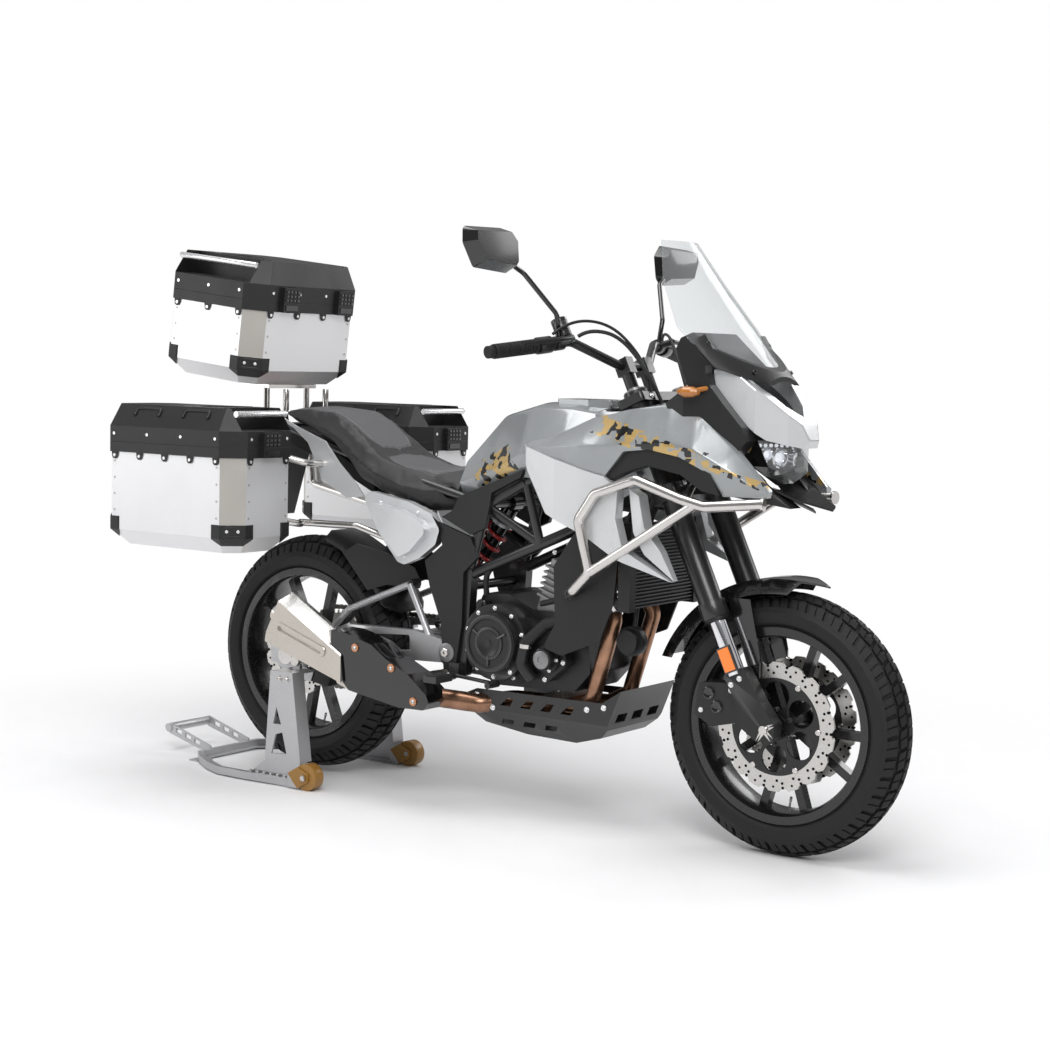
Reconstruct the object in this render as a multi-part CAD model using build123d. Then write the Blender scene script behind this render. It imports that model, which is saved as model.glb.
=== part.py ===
"""Adventure touring motorcycle with aluminium luggage, parked on a rear paddock stand.

Millimetres. +X is the way it rides, +Y its left side, +Z up. While it is drawn, x = 0 is the
rear axle and z = 0 the floor; the finished pieces are then moved along X by ORIGIN_X, so that
the origin lies on the floor in the middle of the whole machine.
"""
import math
import os

from build123d import *

# ---------------------------------------------------------------- driving dimensions
WHEELBASE = 1431.0
REAR_LIFT = 14.0            # rear tyre's height over the floor, held by the paddock stand
FRONT_TYRE_R, FRONT_TYRE_W = 308.0, 114.0
REAR_TYRE_R, REAR_TYRE_W = 315.0, 150.0
RIM_SEAT_R = 216.0          # 17 inch bead seat
RIM_WELL_R = 203.0          # the opening that shows the spokes
RIM_LIP = 12.0              # flange over the bead seat
FRONT_RIM_W, REAR_RIM_W = 98.0, 122.0
SPOKE_PAIRS = 5
RAKE = 25.0                 # steering axis from the vertical, degrees
AXLE_LEAD = 24.0            # front axle ahead of the fork legs
CLAMP_OFFSET = 28.0         # fork legs ahead of the steering axis
LEG_Y = 100.0               # half the distance between the fork legs
FORK_OUTER_R, STANCHION_R = 29.0, 20.5
RUNNING = 0.05              # radial clearance of a shaft that turns in its bore
SEAM = 0.3                  # gap between pieces that only lie against each other
FRONT_AXLE_R, REAR_AXLE_R = 10.0, 12.5
HEAD_TUBE_R, STEM_R = 27.0, 15.0
FRAME_TUBE_R = 14.0
CRASH_TUBE_R = 12.5
STAND_HALF_W = 212.0        # middle of each leg of the paddock stand
STAND_REAR_X = -500.0       # rear edge of the paddock stand's handle
CASE_WALL = 3.0

# Lengthwise stations below are drawn for axles DRAWN_BASE apart. Another wheelbase stretches what
# lies between the rear tyre and the steering head, and carries all that is ahead of it along.
DRAWN_BASE = 1431.0
STRETCH_FROM, STRETCH_TO = 340.0, 1000.0
REAR_AXLE = Vector(0, 0, REAR_LIFT + REAR_TYRE_R)
FRONT_AXLE = Vector(DRAWN_BASE, 0, FRONT_TYRE_R)
ORIGIN_X = (WHEELBASE + FRONT_TYRE_R + STAND_REAR_X) / 2


def station(x):
    """Where a drawn lengthwise station lies on a machine of this wheelbase."""
    share = min(max((x - STRETCH_FROM) / (STRETCH_TO - STRETCH_FROM), 0), 1)
    return x + (WHEELBASE - DRAWN_BASE) * share


def drawn(x):
    """The drawn station of a real one: the inverse of station."""
    growth = WHEELBASE - DRAWN_BASE
    if x <= STRETCH_FROM:
        return x
    if x >= STRETCH_TO + growth:
        return x - growth
    drawn_span = STRETCH_TO - STRETCH_FROM
    return STRETCH_FROM + (x - STRETCH_FROM) * drawn_span / (drawn_span + growth)


def placed(point):
    """A drawn point where it lies on the real machine."""
    x, y, z = point
    return Vector(station(x), y, z)


# The fork's own frame: u forward, v left, w up along the legs, from the front axle.
FORK = Plane(origin=placed(FRONT_AXLE), x_dir=Vector(1, 0, 0).rotate(Axis.Y, -RAKE),
             z_dir=Vector(0, 0, 1).rotate(Axis.Y, -RAKE))
LEG_U = -AXLE_LEAD
STEER_U = -AXLE_LEAD - CLAMP_OFFSET

pieces = {}


# ---------------------------------------------------------------- ways of making a shape
def rod(start, end, radius):
    """A round bar between two points."""
    start, end = placed(start), placed(end)
    return Plane(origin=start, z_dir=end - start) * Cylinder(
        radius, (end - start).length, align=(Align.CENTER, Align.CENTER, Align.MIN))


def tube(points, radius, bend):
    """A round tube through the points, with bends of one radius."""
    path = FilletPolyline(*[placed(point) for point in points], radius=bend)
    return sweep(Plane(origin=path @ 0, z_dir=path % 0) * Circle(radius), path=path)


def side_plate(outline, y_low, y_high, corner=0):
    """An (x, z) outline as a plate between two y."""
    outline = [(station(x), z) for x, z in outline]
    if corner:
        wire = FilletPolyline(*outline, radius=corner, close=True)
    else:
        wire = Polyline(*outline, close=True)
    return Pos(0, y_high, 0) * extrude(Plane.XZ * make_face(wire), y_high - y_low)


def flat_plate(outline, z_low, z_high, corner=0):
    """An (x, y) outline as a plate between two z."""
    outline = [(station(x), y) for x, y in outline]
    if corner:
        wire = FilletPolyline(*outline, radius=corner, close=True)
    else:
        wire = Polyline(*outline, close=True)
    return Pos(0, 0, z_low) * extrude(make_face(wire), z_high - z_low)


def cross_plate(outline, x_low, x_high):
    """A (y, z) outline as a bar between two x."""
    x_low, x_high = station(x_low), station(x_high)
    return Pos(x_low, 0, 0) * extrude(Plane.YZ * make_face(Polyline(*outline, close=True)), x_high - x_low)


def brick(low, high):
    """A box between two corners."""
    low, high = placed(low), placed(high)
    return Pos(*low) * Box(*(h - l for l, h in zip(low, high)), align=(Align.MIN,) * 3)


def wheel_ring(centre, profile):
    """A (radius, y) outline turned about a wheel's axle."""
    face = make_face(Polyline(*[(y, r) for r, y in profile], close=True))
    return Pos(*placed(centre)) * revolve(Plane.YZ * face, axis=Axis.Y)


def disc(centre, radius, y_low, y_high):
    """A round disc about a wheel's axle."""
    return Pos(station(centre.X), y_high, centre.Z) * extrude(Plane.XZ * Circle(radius), y_high - y_low)


def right(solid):
    """The mirror image on the right side of a left-hand solid."""
    return mirror(solid, Plane.XZ)


def both(solid):
    """A left-hand solid and its mirror image."""
    return [solid, right(solid)]


def fuse(*solids):
    whole = solids[0]
    for solid in solids[1:]:
        whole = whole + solid
    return whole


def cut(body, *tools):
    for tool in tools:
        body = body - tool
    return body


def largest(body):
    """The main solid, without the offcuts that a cut can leave beside it."""
    return max(body.solids(), key=lambda solid: solid.volume)


# ---------------------------------------------------------------- wheels
HUB_R = 34.0
HUB_HALF = {"front": 46.0, "rear": 70.0}
SPOKE_HALF_ANGLE = 15.0
SPOKE_W, SPOKE_T = 20.0, 26.0
RIM_LIP_T = 5.0
TYRE_T = 16.0


def tyre(centre, radius, width, rim_w):
    """A road tyre: a rounded crown over two side walls, hollow down to its beads."""
    half, bead = width / 2, rim_w / 2 - RIM_LIP_T - 1
    crown = 0.80 * half
    shoulder = radius - 0.26 * width
    inner_r = radius - TYRE_T
    seat_r, lip_r = RIM_SEAT_R + RUNNING, RIM_SEAT_R + RIM_LIP + 2
    outline = [
        Line((seat_r, bead), (lip_r, bead)),
        ThreePointArc((lip_r, bead), (lip_r + 20, half), (shoulder, crown)),
        ThreePointArc((shoulder, crown), (radius, 0), (shoulder, -crown)),
        ThreePointArc((shoulder, -crown), (lip_r + 20, -half), (lip_r, -bead)),
        Line((lip_r, -bead), (seat_r, -bead)),
        Line((seat_r, -bead), (seat_r, -bead + 10)),
        ThreePointArc((seat_r, -bead + 10), (inner_r, 0), (seat_r, bead - 10)),
        Line((seat_r, bead - 10), (seat_r, bead)),
    ]
    face = make_face(Wire([edge for line in outline for edge in line.edges()]))
    hub = placed(centre)
    upright = Plane(origin=hub, x_dir=(0, 0, 1), z_dir=(-1, 0, 0))
    return revolve(upright * face, axis=Axis(hub, (0, 1, 0)))


def rim(centre, rim_w, hub_half, axle_r, first_angle):
    """A cast rim with paired spokes, turning on its axle."""
    half, flange = rim_w / 2, RIM_SEAT_R + RIM_LIP
    inside = half - RIM_LIP_T
    well = [(flange, -half), (flange, -inside), (RIM_SEAT_R, -inside), (RIM_SEAT_R, inside),
            (flange, inside), (flange, half), (RIM_WELL_R + 6, half), (RIM_WELL_R, half - 14),
            (RIM_WELL_R, -half + 14), (RIM_WELL_R + 6, -half)]
    wheel = wheel_ring(centre, well) + disc(centre, HUB_R, -hub_half, hub_half)
    for pair in range(SPOKE_PAIRS):
        middle = first_angle + pair * 360 / SPOKE_PAIRS
        for side in (-1, 1):
            angle = math.radians(middle + side * SPOKE_HALF_ANGLE)
            foot = math.radians(middle + side * 4)
            toe = placed(centre) + Vector(math.cos(angle), 0, math.sin(angle)) * (RIM_WELL_R + 3)
            heel = placed(centre) + Vector(math.cos(foot), 0, math.sin(foot)) * (HUB_R - 6)
            along = Plane(origin=heel, x_dir=(0, 1, 0), z_dir=toe - heel)
            wheel = wheel + extrude(along * Rectangle(SPOKE_T, SPOKE_W), (toe - heel).length)
    return wheel - disc(centre, axle_r + RUNNING, -hub_half, hub_half)


def wavy_disc(centre, outer, inner, y_low, y_high, hub_bore, waves):
    """A brake disc with a scalloped rim on its carrier."""
    ring = disc(centre, outer, y_low, y_high)
    for wave in range(waves):
        angle = 2 * math.pi * wave / waves
        at = centre + Vector(math.cos(angle), 0, math.sin(angle)) * (outer + 9)
        ring = ring - disc(at, 16, y_low, y_high)
    for hole in range(6):
        angle = 2 * math.pi * (hole + 0.5) / 6
        at = centre + Vector(math.cos(angle), 0, math.sin(angle)) * ((hub_bore + inner) / 2)
        ring = ring - disc(at, (inner - hub_bore) / 2 - 10, y_low, y_high)
    return ring - disc(centre, hub_bore, y_low, y_high)


FRONT_DISC_R, FRONT_DISC_IN, FRONT_DISC_Y = 150.0, 115.0, 56.0
REAR_DISC_R, REAR_DISC_IN, REAR_DISC_Y = 112.0, 78.0, 84.0
DISC_T = 5.0
SPROCKET_R, SPROCKET_Y, SPROCKET_TEETH = 98.0, 89.0, 42
FRONT_SPOKE_ANGLE, REAR_SPOKE_ANGLE = -89.0, -84.0

pieces["front_tyre"] = tyre(FRONT_AXLE, FRONT_TYRE_R, FRONT_TYRE_W, FRONT_RIM_W)
pieces["rear_tyre"] = tyre(REAR_AXLE, REAR_TYRE_R, REAR_TYRE_W, REAR_RIM_W)
pieces["front_rim"] = rim(FRONT_AXLE, FRONT_RIM_W, HUB_HALF["front"], FRONT_AXLE_R, FRONT_SPOKE_ANGLE)
pieces["rear_rim"] = rim(REAR_AXLE, REAR_RIM_W, HUB_HALF["rear"], REAR_AXLE_R, REAR_SPOKE_ANGLE)
# The front hub's disc seats: a boss on each side carries the disc.
for side in (-1, 1):
    seat_in, seat_out = sorted((side * (HUB_HALF["front"] - 2), side * (FRONT_DISC_Y + DISC_T / 2 + 4)))
    boss = disc(FRONT_AXLE, HUB_R - 4, seat_in, seat_out)
    pieces["front_rim"] = pieces["front_rim"] + (boss - disc(FRONT_AXLE, FRONT_AXLE_R + RUNNING, -90, 90))
left_disc = wavy_disc(FRONT_AXLE, FRONT_DISC_R, FRONT_DISC_IN, FRONT_DISC_Y - DISC_T / 2,
                      FRONT_DISC_Y + DISC_T / 2, HUB_R - 4 + SEAM / 3, 18)
pieces["front_discs"] = both(left_disc)
REAR_SEAT_OUT = SPROCKET_Y + DISC_T / 2 + 3
for y_low, y_high in ((-REAR_SEAT_OUT, -HUB_HALF["rear"] + 2), (HUB_HALF["rear"] - 2, REAR_SEAT_OUT)):
    boss = disc(REAR_AXLE, HUB_R - 4, y_low, y_high) - disc(REAR_AXLE, REAR_AXLE_R + RUNNING, -99, 99)
    pieces["rear_rim"] = pieces["rear_rim"] + boss
pieces["rear_disc"] = wavy_disc(REAR_AXLE, REAR_DISC_R, REAR_DISC_IN, -REAR_DISC_Y - DISC_T / 2,
                                -REAR_DISC_Y + DISC_T / 2, HUB_R - 4 + SEAM / 3, 14)


def sprocket(centre, pitch_r, teeth, y_mid, bore, thickness):
    """A chain wheel: one tooth between each two rollers."""
    outline = []
    for tooth in range(teeth):
        middle = 2 * math.pi * tooth / teeth
        step = 2 * math.pi / teeth
        for radius, share in ((pitch_r - 4, -0.5), (pitch_r - 4, -0.25), (pitch_r + 4, -0.08),
                              (pitch_r + 4, 0.08),
                              (pitch_r - 4, 0.25)):
            angle = middle + share * step
            outline.append((centre.X + radius * math.cos(angle), centre.Z + radius * math.sin(angle)))
    plate = side_plate(outline, y_mid - thickness / 2, y_mid + thickness / 2)
    return plate - disc(centre, bore, y_mid - thickness, y_mid + thickness)


rear_sprocket = sprocket(REAR_AXLE, SPROCKET_R, SPROCKET_TEETH, SPROCKET_Y, HUB_R - 4 + SEAM / 3, 5)
for hole in range(5):
    angle = 2 * math.pi * hole / 5
    at = REAR_AXLE + Vector(math.cos(angle), 0, math.sin(angle)) * 62
    rear_sprocket = rear_sprocket - disc(at, 17, 0, 100)
pieces["rear_sprocket"] = rear_sprocket

# ---------------------------------------------------------------- fork, which turns with the bars
COLLAR_W = 278.0            # bottom of the outer tubes
FOOT_W = 150.0              # top of the axle feet
LOWER_CLAMP_W = 587.0
CLAMP_SPAN = 233.0          # between the middles of the two clamps
UPPER_CLAMP_W = LOWER_CLAMP_W + CLAMP_SPAN
LEG_STICK_OUT = 22.0
LEG_TOP_W = UPPER_CLAMP_W + LEG_STICK_OUT
STANCHION_REACH = 120.0     # how far the stanchion goes up into the outer tube


def fork_rod(u, v, w_low, w_high, radius):
    return FORK * Pos(u, v, w_low) * Cylinder(radius, w_high - w_low,
                                              align=(Align.CENTER, Align.CENTER, Align.MIN))


def fork_plate(outline, w_low, w_high, corner=10):
    wire = FilletPolyline(*outline, radius=corner, close=True)
    return FORK * Pos(0, 0, w_low) * extrude(make_face(wire), w_high - w_low)


def fork_point(u, v, w):
    """A place on the fork, as a drawn point."""
    x, y, z = FORK.from_local_coords(Vector(u, v, w))
    return Vector(drawn(x), y, z)


legs = [fork_rod(LEG_U, side * LEG_Y, COLLAR_W, LEG_TOP_W, FORK_OUTER_R)
        + fork_rod(LEG_U, side * LEG_Y, COLLAR_W, COLLAR_W + 38, FORK_OUTER_R + 3.5)
        - fork_rod(LEG_U, side * LEG_Y, COLLAR_W, COLLAR_W + STANCHION_REACH + 2, STANCHION_R + SEAM)
        for side in (-1, 1)]
CLAMP_OUT = LEG_Y + FORK_OUTER_R + 8
clamp_outline = [(STEER_U - 30, -34), (STEER_U - 30, 34), (LEG_U - 36, CLAMP_OUT), (LEG_U + 36, CLAMP_OUT),
                 (LEG_U + 30, 60), (LEG_U + 30, -60), (LEG_U + 36, -CLAMP_OUT), (LEG_U - 36, -CLAMP_OUT)]
lower_clamp = fork_plate(clamp_outline, LOWER_CLAMP_W - 18, LOWER_CLAMP_W + 18)
upper_clamp = fork_plate(clamp_outline, UPPER_CLAMP_W - 11, UPPER_CLAMP_W + 11)
stem = fork_rod(STEER_U, 0, LOWER_CLAMP_W, UPPER_CLAMP_W + 16, STEM_R)
pieces["fork_upper"] = fuse(lower_clamp, upper_clamp, stem, *legs)


def fork_leg(side):
    """One chromed stanchion in its axle foot, with the brake caliper on the foot's rear."""
    y = side * LEG_Y
    y_in, y_out = sorted((side * (LEG_Y - 24), side * (LEG_Y + 14)))
    stanchion = fork_rod(LEG_U, y, FOOT_W - 10, COLLAR_W + STANCHION_REACH, STANCHION_R)
    ax, az = FRONT_AXLE.X, FRONT_AXLE.Z
    top = fork_point(LEG_U, 0, FOOT_W)
    foot = side_plate([(top.X - 26, top.Z - 12), (top.X + 26, top.Z + 12), (ax - 10, az + 60),
                       (ax + 26, az + 14),
                       (ax + 24, az - 24), (ax - 18, az - 30), (ax - 70, az + 4), (ax - 78, az + 60)],
                      y_in, y_out, 8)
    # The caliper straddles the disc's rear edge and hangs on an arm of the foot.
    disc_y = side * FRONT_DISC_Y
    arm = side_plate([(ax - 60, az + 8), (ax - 60, az + 74), (ax - 120, az + 92), (ax - 186, az + 86),
                      (ax - 196, az + 10), (ax - 150, az - 14)], *sorted((side * 66, side * 90)), 8)
    body = side_plate([(ax - 112, az + 12), (ax - 112, az + 84), (ax - 170, az + 90), (ax - 186, az + 6)],
                      *sorted((side * 30, side * 70)), 6)
    slot = disc(FRONT_AXLE, FRONT_DISC_R + 5, *sorted((disc_y - 5.5, disc_y + 5.5)))
    return fuse(stanchion, foot, arm, body) - slot


FRONT_AXLE_HALF = LEG_Y + 20
front_axle = disc(FRONT_AXLE, FRONT_AXLE_R, -FRONT_AXLE_HALF, FRONT_AXLE_HALF)
spacers = [disc(FRONT_AXLE, 20, *sorted((side * (FRONT_DISC_Y + DISC_T / 2 + 4 + SEAM), side * (LEG_Y - 20))))
           for side in (-1, 1)]
pieces["fork_lower"] = fuse(front_axle, *spacers, fork_leg(-1), fork_leg(1))

# Front mudguard: a thin shell about the tyre, carried by a stay on each fork foot.
FENDER_R, FENDER_T, FENDER_HALF = 340.0, 4.0, 70.0
guard_profile = [(FENDER_R - 34, -FENDER_HALF), (FENDER_R, -FENDER_HALF + 22), (FENDER_R, FENDER_HALF - 22),
                 (FENDER_R - 34, FENDER_HALF), (FENDER_R - 34, FENDER_HALF - FENDER_T - 1),
                 (FENDER_R - FENDER_T, FENDER_HALF - 26), (FENDER_R - FENDER_T, -FENDER_HALF + 26),
                 (FENDER_R - 34, -FENDER_HALF + FENDER_T + 1)]
ring = wheel_ring(FRONT_AXLE, guard_profile)
guard_side = [(FRONT_AXLE.X + 130, FRONT_AXLE.Z + 318), (FRONT_AXLE.X - 40, FRONT_AXLE.Z + 360),
              (FRONT_AXLE.X - 200, FRONT_AXLE.Z + 330), (FRONT_AXLE.X - 350, FRONT_AXLE.Z + 200),
              (FRONT_AXLE.X - 350, FRONT_AXLE.Z + 128), (FRONT_AXLE.X - 270, FRONT_AXLE.Z + 132),
              (FRONT_AXLE.X - 150, FRONT_AXLE.Z + 240), (FRONT_AXLE.X, FRONT_AXLE.Z + 290),
              (FRONT_AXLE.X + 90, FRONT_AXLE.Z + 300)]
guard = ring & side_plate(guard_side, -90, 90)
nose_plan = flat_plate([(FRONT_AXLE.X + 98, 0), (FRONT_AXLE.X + 20, 66), (FRONT_AXLE.X - 400, 90),
                        (FRONT_AXLE.X - 400, -90),
                        (FRONT_AXLE.X + 20, -66)], 300, 700)
guard = guard & nose_plan


def guard_stay(side):
    outline = [(FRONT_AXLE.X - 130, FRONT_AXLE.Z + 288), (FRONT_AXLE.X - 70, FRONT_AXLE.Z + 288),
               (FRONT_AXLE.X - 40, FRONT_AXLE.Z + 160), (FRONT_AXLE.X - 40, FRONT_AXLE.Z + 110),
               (FRONT_AXLE.X - 62, FRONT_AXLE.Z + 110)]
    return side_plate(outline, *sorted((side * 64, side * 70)))


fender_cutters = [fork_rod(LEG_U, side * LEG_Y, FOOT_W - 80, LEG_TOP_W, FORK_OUTER_R + 4) for side in (-1, 1)]
pieces["front_fender"] = cut(fuse(guard, guard_stay(-1), guard_stay(1)), *fender_cutters,
                             pieces["fork_lower"])

# Handlebar: risers, a bent tube, grips with weights, switches, levers.
BAR_R, GRIP_R = 11.0, 16.5
BAR_CENTRE = (-60.0, 0.0, 925.0)
BAR_KNEE = (-92.0, 185.0, 1000.0)
BAR_END = (-160.0, 418.0, 1000.0)
half_bar = [fork_point(u, v, w) for u, v, w in (BAR_CENTRE, (-60, 62, 925), BAR_KNEE, BAR_END)]
left_bar = tube(half_bar, BAR_R, 40)
risers = [fork_rod(-60, side * 42, UPPER_CLAMP_W + 11, 905, 15)
          + (FORK * Pos(-60, side * 42, 922) * Box(38, 30, 40)) for side in (-1, 1)]


def bar_fittings():
    """Grip, end weight, switch box, lever and its perch on the left half of the bar."""
    knee, end = Vector(*BAR_KNEE), Vector(*BAR_END)
    along = (end - knee).normalized()

    def at(distance, shift=(0, 0, 0)):
        return fork_point(*(knee + along * distance + Vector(*shift)))
    grip = rod(at(108), at(236), GRIP_R)
    weight = rod(at(238), at(252), GRIP_R - 2)
    switch = rod(at(66), at(104), 20)
    perch = rod(at(28), at(52), 17)
    perch_arm = rod(at(40), at(40, (44, 0, -6)), 9)
    lever = tube([at(40, (44, 0, -6)), at(90, (52, 0, -8)), at(215, (66, 0, -10))], 6, 30)
    return [grip, weight, switch, perch, perch_arm, lever]


left_half = fuse(left_bar, *bar_fittings())
reservoir = rod(fork_point(-92, -205, 1010), fork_point(-92, -205, 1052), 19)
pieces["handlebar"] = fuse(left_half, right(left_half), *risers, reservoir)

# Mirrors on bent stalks.
MIRROR = (-84.0, 407.0, 1221.0)
stalk = tube([fork_point(-98, 222, 1006), fork_point(-72, 236, 1060), fork_point(-80, 300, 1165),
              fork_point(-78, 360, 1195)], 6, 24)
mirror_face = [(-88, -34), (-70, -52), (60, -44), (92, 10), (88, 48), (-60, 52), (-90, 24)]
glass_plane = Plane(origin=placed(fork_point(*MIRROR)), x_dir=(0, 1, 0),
                    z_dir=Vector(1, 0, 0).rotate(Axis.Y, -6))
mirror_back = extrude(glass_plane * make_face(FilletPolyline(*mirror_face, radius=14, close=True)), 34,
                      taper=22)
one_mirror = fuse(mirror_back, stalk)
pieces["mirrors"] = [largest(cut(solid, pieces["handlebar"])) for solid in both(one_mirror)]

# ---------------------------------------------------------------- frame
PIVOT = Vector(545, 0, 395)
PIVOT_R = 10.0
HEAD_LOW_W, HEAD_HIGH_W = LOWER_CLAMP_W + 18 + SEAM, UPPER_CLAMP_W - 11 - SEAM
head_tube = fork_rod(STEER_U, 0, HEAD_LOW_W, HEAD_HIGH_W, HEAD_TUBE_R)
head_bore = fork_rod(STEER_U, 0, HEAD_LOW_W - 5, HEAD_HIGH_W + 5, STEM_R + RUNNING)
head_top = fork_point(STEER_U, 0, HEAD_HIGH_W - 30)
head_low = fork_point(STEER_U, 0, HEAD_LOW_W + 34)


def frame_side():
    """Left half of the trellis: upper and lower rails, struts and the pivot plate."""
    knee = (640, 118, 770)
    upper = rod(head_top, (760, 118, 835), FRAME_TUBE_R) + rod((760, 118, 835), knee, FRAME_TUBE_R)
    rail_bend = Vector(930, 96, 742)
    lower = rod(head_low, rail_bend, FRAME_TUBE_R) + rod(rail_bend, (590, 118, 590), FRAME_TUBE_R)
    strut = rod((760, 118, 835), (800, 109, 684), FRAME_TUBE_R - 3) + rod(knee, (800, 109, 684),
                                                                          FRAME_TUBE_R - 3)
    drop = rod(knee, (590, 118, 590), FRAME_TUBE_R)
    plate = side_plate([(612, 612), (560, 612), (528, 470), (518, 372), (560, 330), (598, 340), (604, 480)],
                       104, 132, 10)
    down = rod(head_low + (rail_bend - head_low) * 0.35, (958, 60, 640), FRAME_TUBE_R - 2)
    return fuse(upper, lower, strut, drop, plate, down)


def subframe_side():
    """Left half of the rear subframe, from the trellis to the tail."""
    top_rail = rod((640, 118, 770), (250, 92, 852), 11) + rod((250, 92, 852), (-60, 80, 938), 11)
    stay = rod((600, 118, 640), (250, 92, 852), 11)
    return fuse(top_rail, stay)


left_frame = frame_side()
cross_bars = [rod((640, -118, 770), (640, 118, 770), 11), rod((570, -110, 560), (570, 110, 560), 12)]
pivot_tube = rod((PIVOT.X, -132, PIVOT.Z), (PIVOT.X, 132, PIVOT.Z), PIVOT_R)
pieces["frame_main"] = cut(fuse(left_frame, right(left_frame), head_tube, *cross_bars, pivot_tube), head_bore)
rear_bars = [rod((-60, -80, 938), (-60, 80, 938), 9), rod((250, -92, 852), (250, 92, 852), 9)]
rear_subframe = cut(fuse(subframe_side(), right(subframe_side()), *rear_bars), pieces["frame_main"])

# ---------------------------------------------------------------- engine
ENGINE_HALF = 96.0
crankcase_side = [(600, 372), (588, 470), (622, 548), (700, 552), (776, 520), (880, 520), (938, 470),
                  (946, 380),
                  (900, 330), (660, 322)]
crankcase = side_plate(crankcase_side, -ENGINE_HALF, ENGINE_HALF, 14)
CYL_TILT = 18.0
cyl_plane = Plane(origin=placed((826, 0, 500)), x_dir=Vector(1, 0, 0).rotate(Axis.Y, CYL_TILT),
                  z_dir=Vector(0, 0, 1).rotate(Axis.Y, CYL_TILT))
barrel = cyl_plane * Pos(0, 0, 70) * Box(104, 172, 140)
for fin in range(6):
    barrel = barrel + cyl_plane * Pos(0, 0, 44 + 15 * fin) * Box(120, 188, 5)
head_block = cyl_plane * Pos(0, 0, 172) * Box(128, 178, 62)
cover_top = cyl_plane * Pos(0, 0, 222) * Box(96, 166, 38)
pieces["cylinder_head"] = largest(cut(fuse(barrel, head_block, cover_top), crankcase, pieces["frame_main"]))
CLUTCH = (702, 438)


def engine_cover(x, z, r, y_out, rim_r):
    """A round cover on the left of the crankcase with a dished middle."""
    base = Pos(station(x), y_out - 22, z) * extrude(Plane.XZ * Circle(r), y_out - 22 - ENGINE_HALF)
    crown = Pos(station(x), y_out, z) * extrude(Plane.XZ * Circle(rim_r), 24)
    return base + crown


sump_cover = side_plate([(630, 360), (640, 500), (760, 505), (880, 470), (900, 400), (840, 350)],
                        ENGINE_HALF, 128, 18)
left_cover = fuse(engine_cover(*CLUTCH, 88, 168, 66), sump_cover)
right_cover = right(fuse(engine_cover(*CLUTCH, 94, 178, 74), sump_cover))
water_pump = right(engine_cover(845, 410, 34, 158, 26))
pieces["engine_block"] = [crankcase, left_cover, right_cover + water_pump]
HOSE_R = 15.0

# ---------------------------------------------------------------- cooling
HEADER_R = 19.0


def header(side):
    return tube([(905, side * 52, 604), (962, side * 66, 602), (1008, side * 88, 520), (946, side * 84, 312),
                 (900, side * 70, 286), (820, side * 60, 284)], HEADER_R, 30)


RAD_T, RAD_HALF, RAD_LOW, RAD_HIGH = 30.0, 160.0, 552.0, 752.0
TYRE_TO_RADIATOR = 31.0
RAD_X = FRONT_AXLE.X - FRONT_TYRE_R - TYRE_TO_RADIATOR - RAD_T
RAD_FINS, FIN_T = 24, 1.6
core = brick((RAD_X, -RAD_HALF + 24, RAD_LOW), (RAD_X + RAD_T - 12, RAD_HALF - 24, RAD_HIGH))
for fin in range(RAD_FINS):
    z = RAD_LOW + (fin + 0.5) * (RAD_HIGH - RAD_LOW) / RAD_FINS
    core = core + brick((RAD_X + RAD_T - 12.5, -RAD_HALF + 24, z - FIN_T),
                        (RAD_X + RAD_T - 4, RAD_HALF - 24, z + FIN_T))
tanks = [brick((RAD_X - 3, side * RAD_HALF if side < 0 else RAD_HALF - 26, RAD_LOW - 5),
               (RAD_X + RAD_T, side * RAD_HALF + 26 if side < 0 else RAD_HALF,
                RAD_HIGH + 5)) for side in (-1, 1)]
left_ear = brick((RAD_X - 1, 58, RAD_HIGH - 6), (RAD_X + 8, 80, RAD_HIGH + 34))
ears = [left_ear, right(left_ear)]
rad_stays = [rod((RAD_X + 2, side * 70, RAD_HIGH + 26), (996, side * 61, 784), 7) for side in (-1, 1)]
horn = disc(Vector(1056, 0, 470), 36, -96, -74) + disc(Vector(1056, 0, 470), 28, -112, -96)
horn = horn + rod((1056, -84, 470), (1066, -84, 552), 6)
hose = tube([(806, -142, 358), (784, -158, 396), (796, -158, 446), (838, -133, 494), (900, -131, 512),
             (RAD_X - 3 - SEAM, -140, 566)], HOSE_R, 18)
pieces["engine_block"][2] = pieces["engine_block"][2] + largest(cut(hose, crankcase, core, *tanks))
pieces["radiator"] = cut(fuse(core, *tanks, *ears, *rad_stays, horn), pieces["frame_main"],
                         header(-1), header(1))

# ---------------------------------------------------------------- exhaust
collector = tube([(822, -40, 284), (700, -60, 284), (640, -128, 276), (520, -168, 284)], 24, 40)
join_box = brick((790, -86, 262), (862, 86, 308))
pieces["exhaust_headers"] = cut(fuse(header(-1), header(1), join_box, collector), pieces["cylinder_head"],
                                *pieces["engine_block"])
SILENCER_Y, SILENCER_HALF = -198.0, 48.0
SILENCER_OUT = SILENCER_Y - SILENCER_HALF
silencer_outline = [(26, 381), (31, 407), (66, 478), (79, 512), (98, 512), (240, 424), (286, 372), (296, 298),
                    (160, 340)]
silencer = side_plate(silencer_outline, SILENCER_OUT, SILENCER_Y + SILENCER_HALF, 6)
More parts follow.
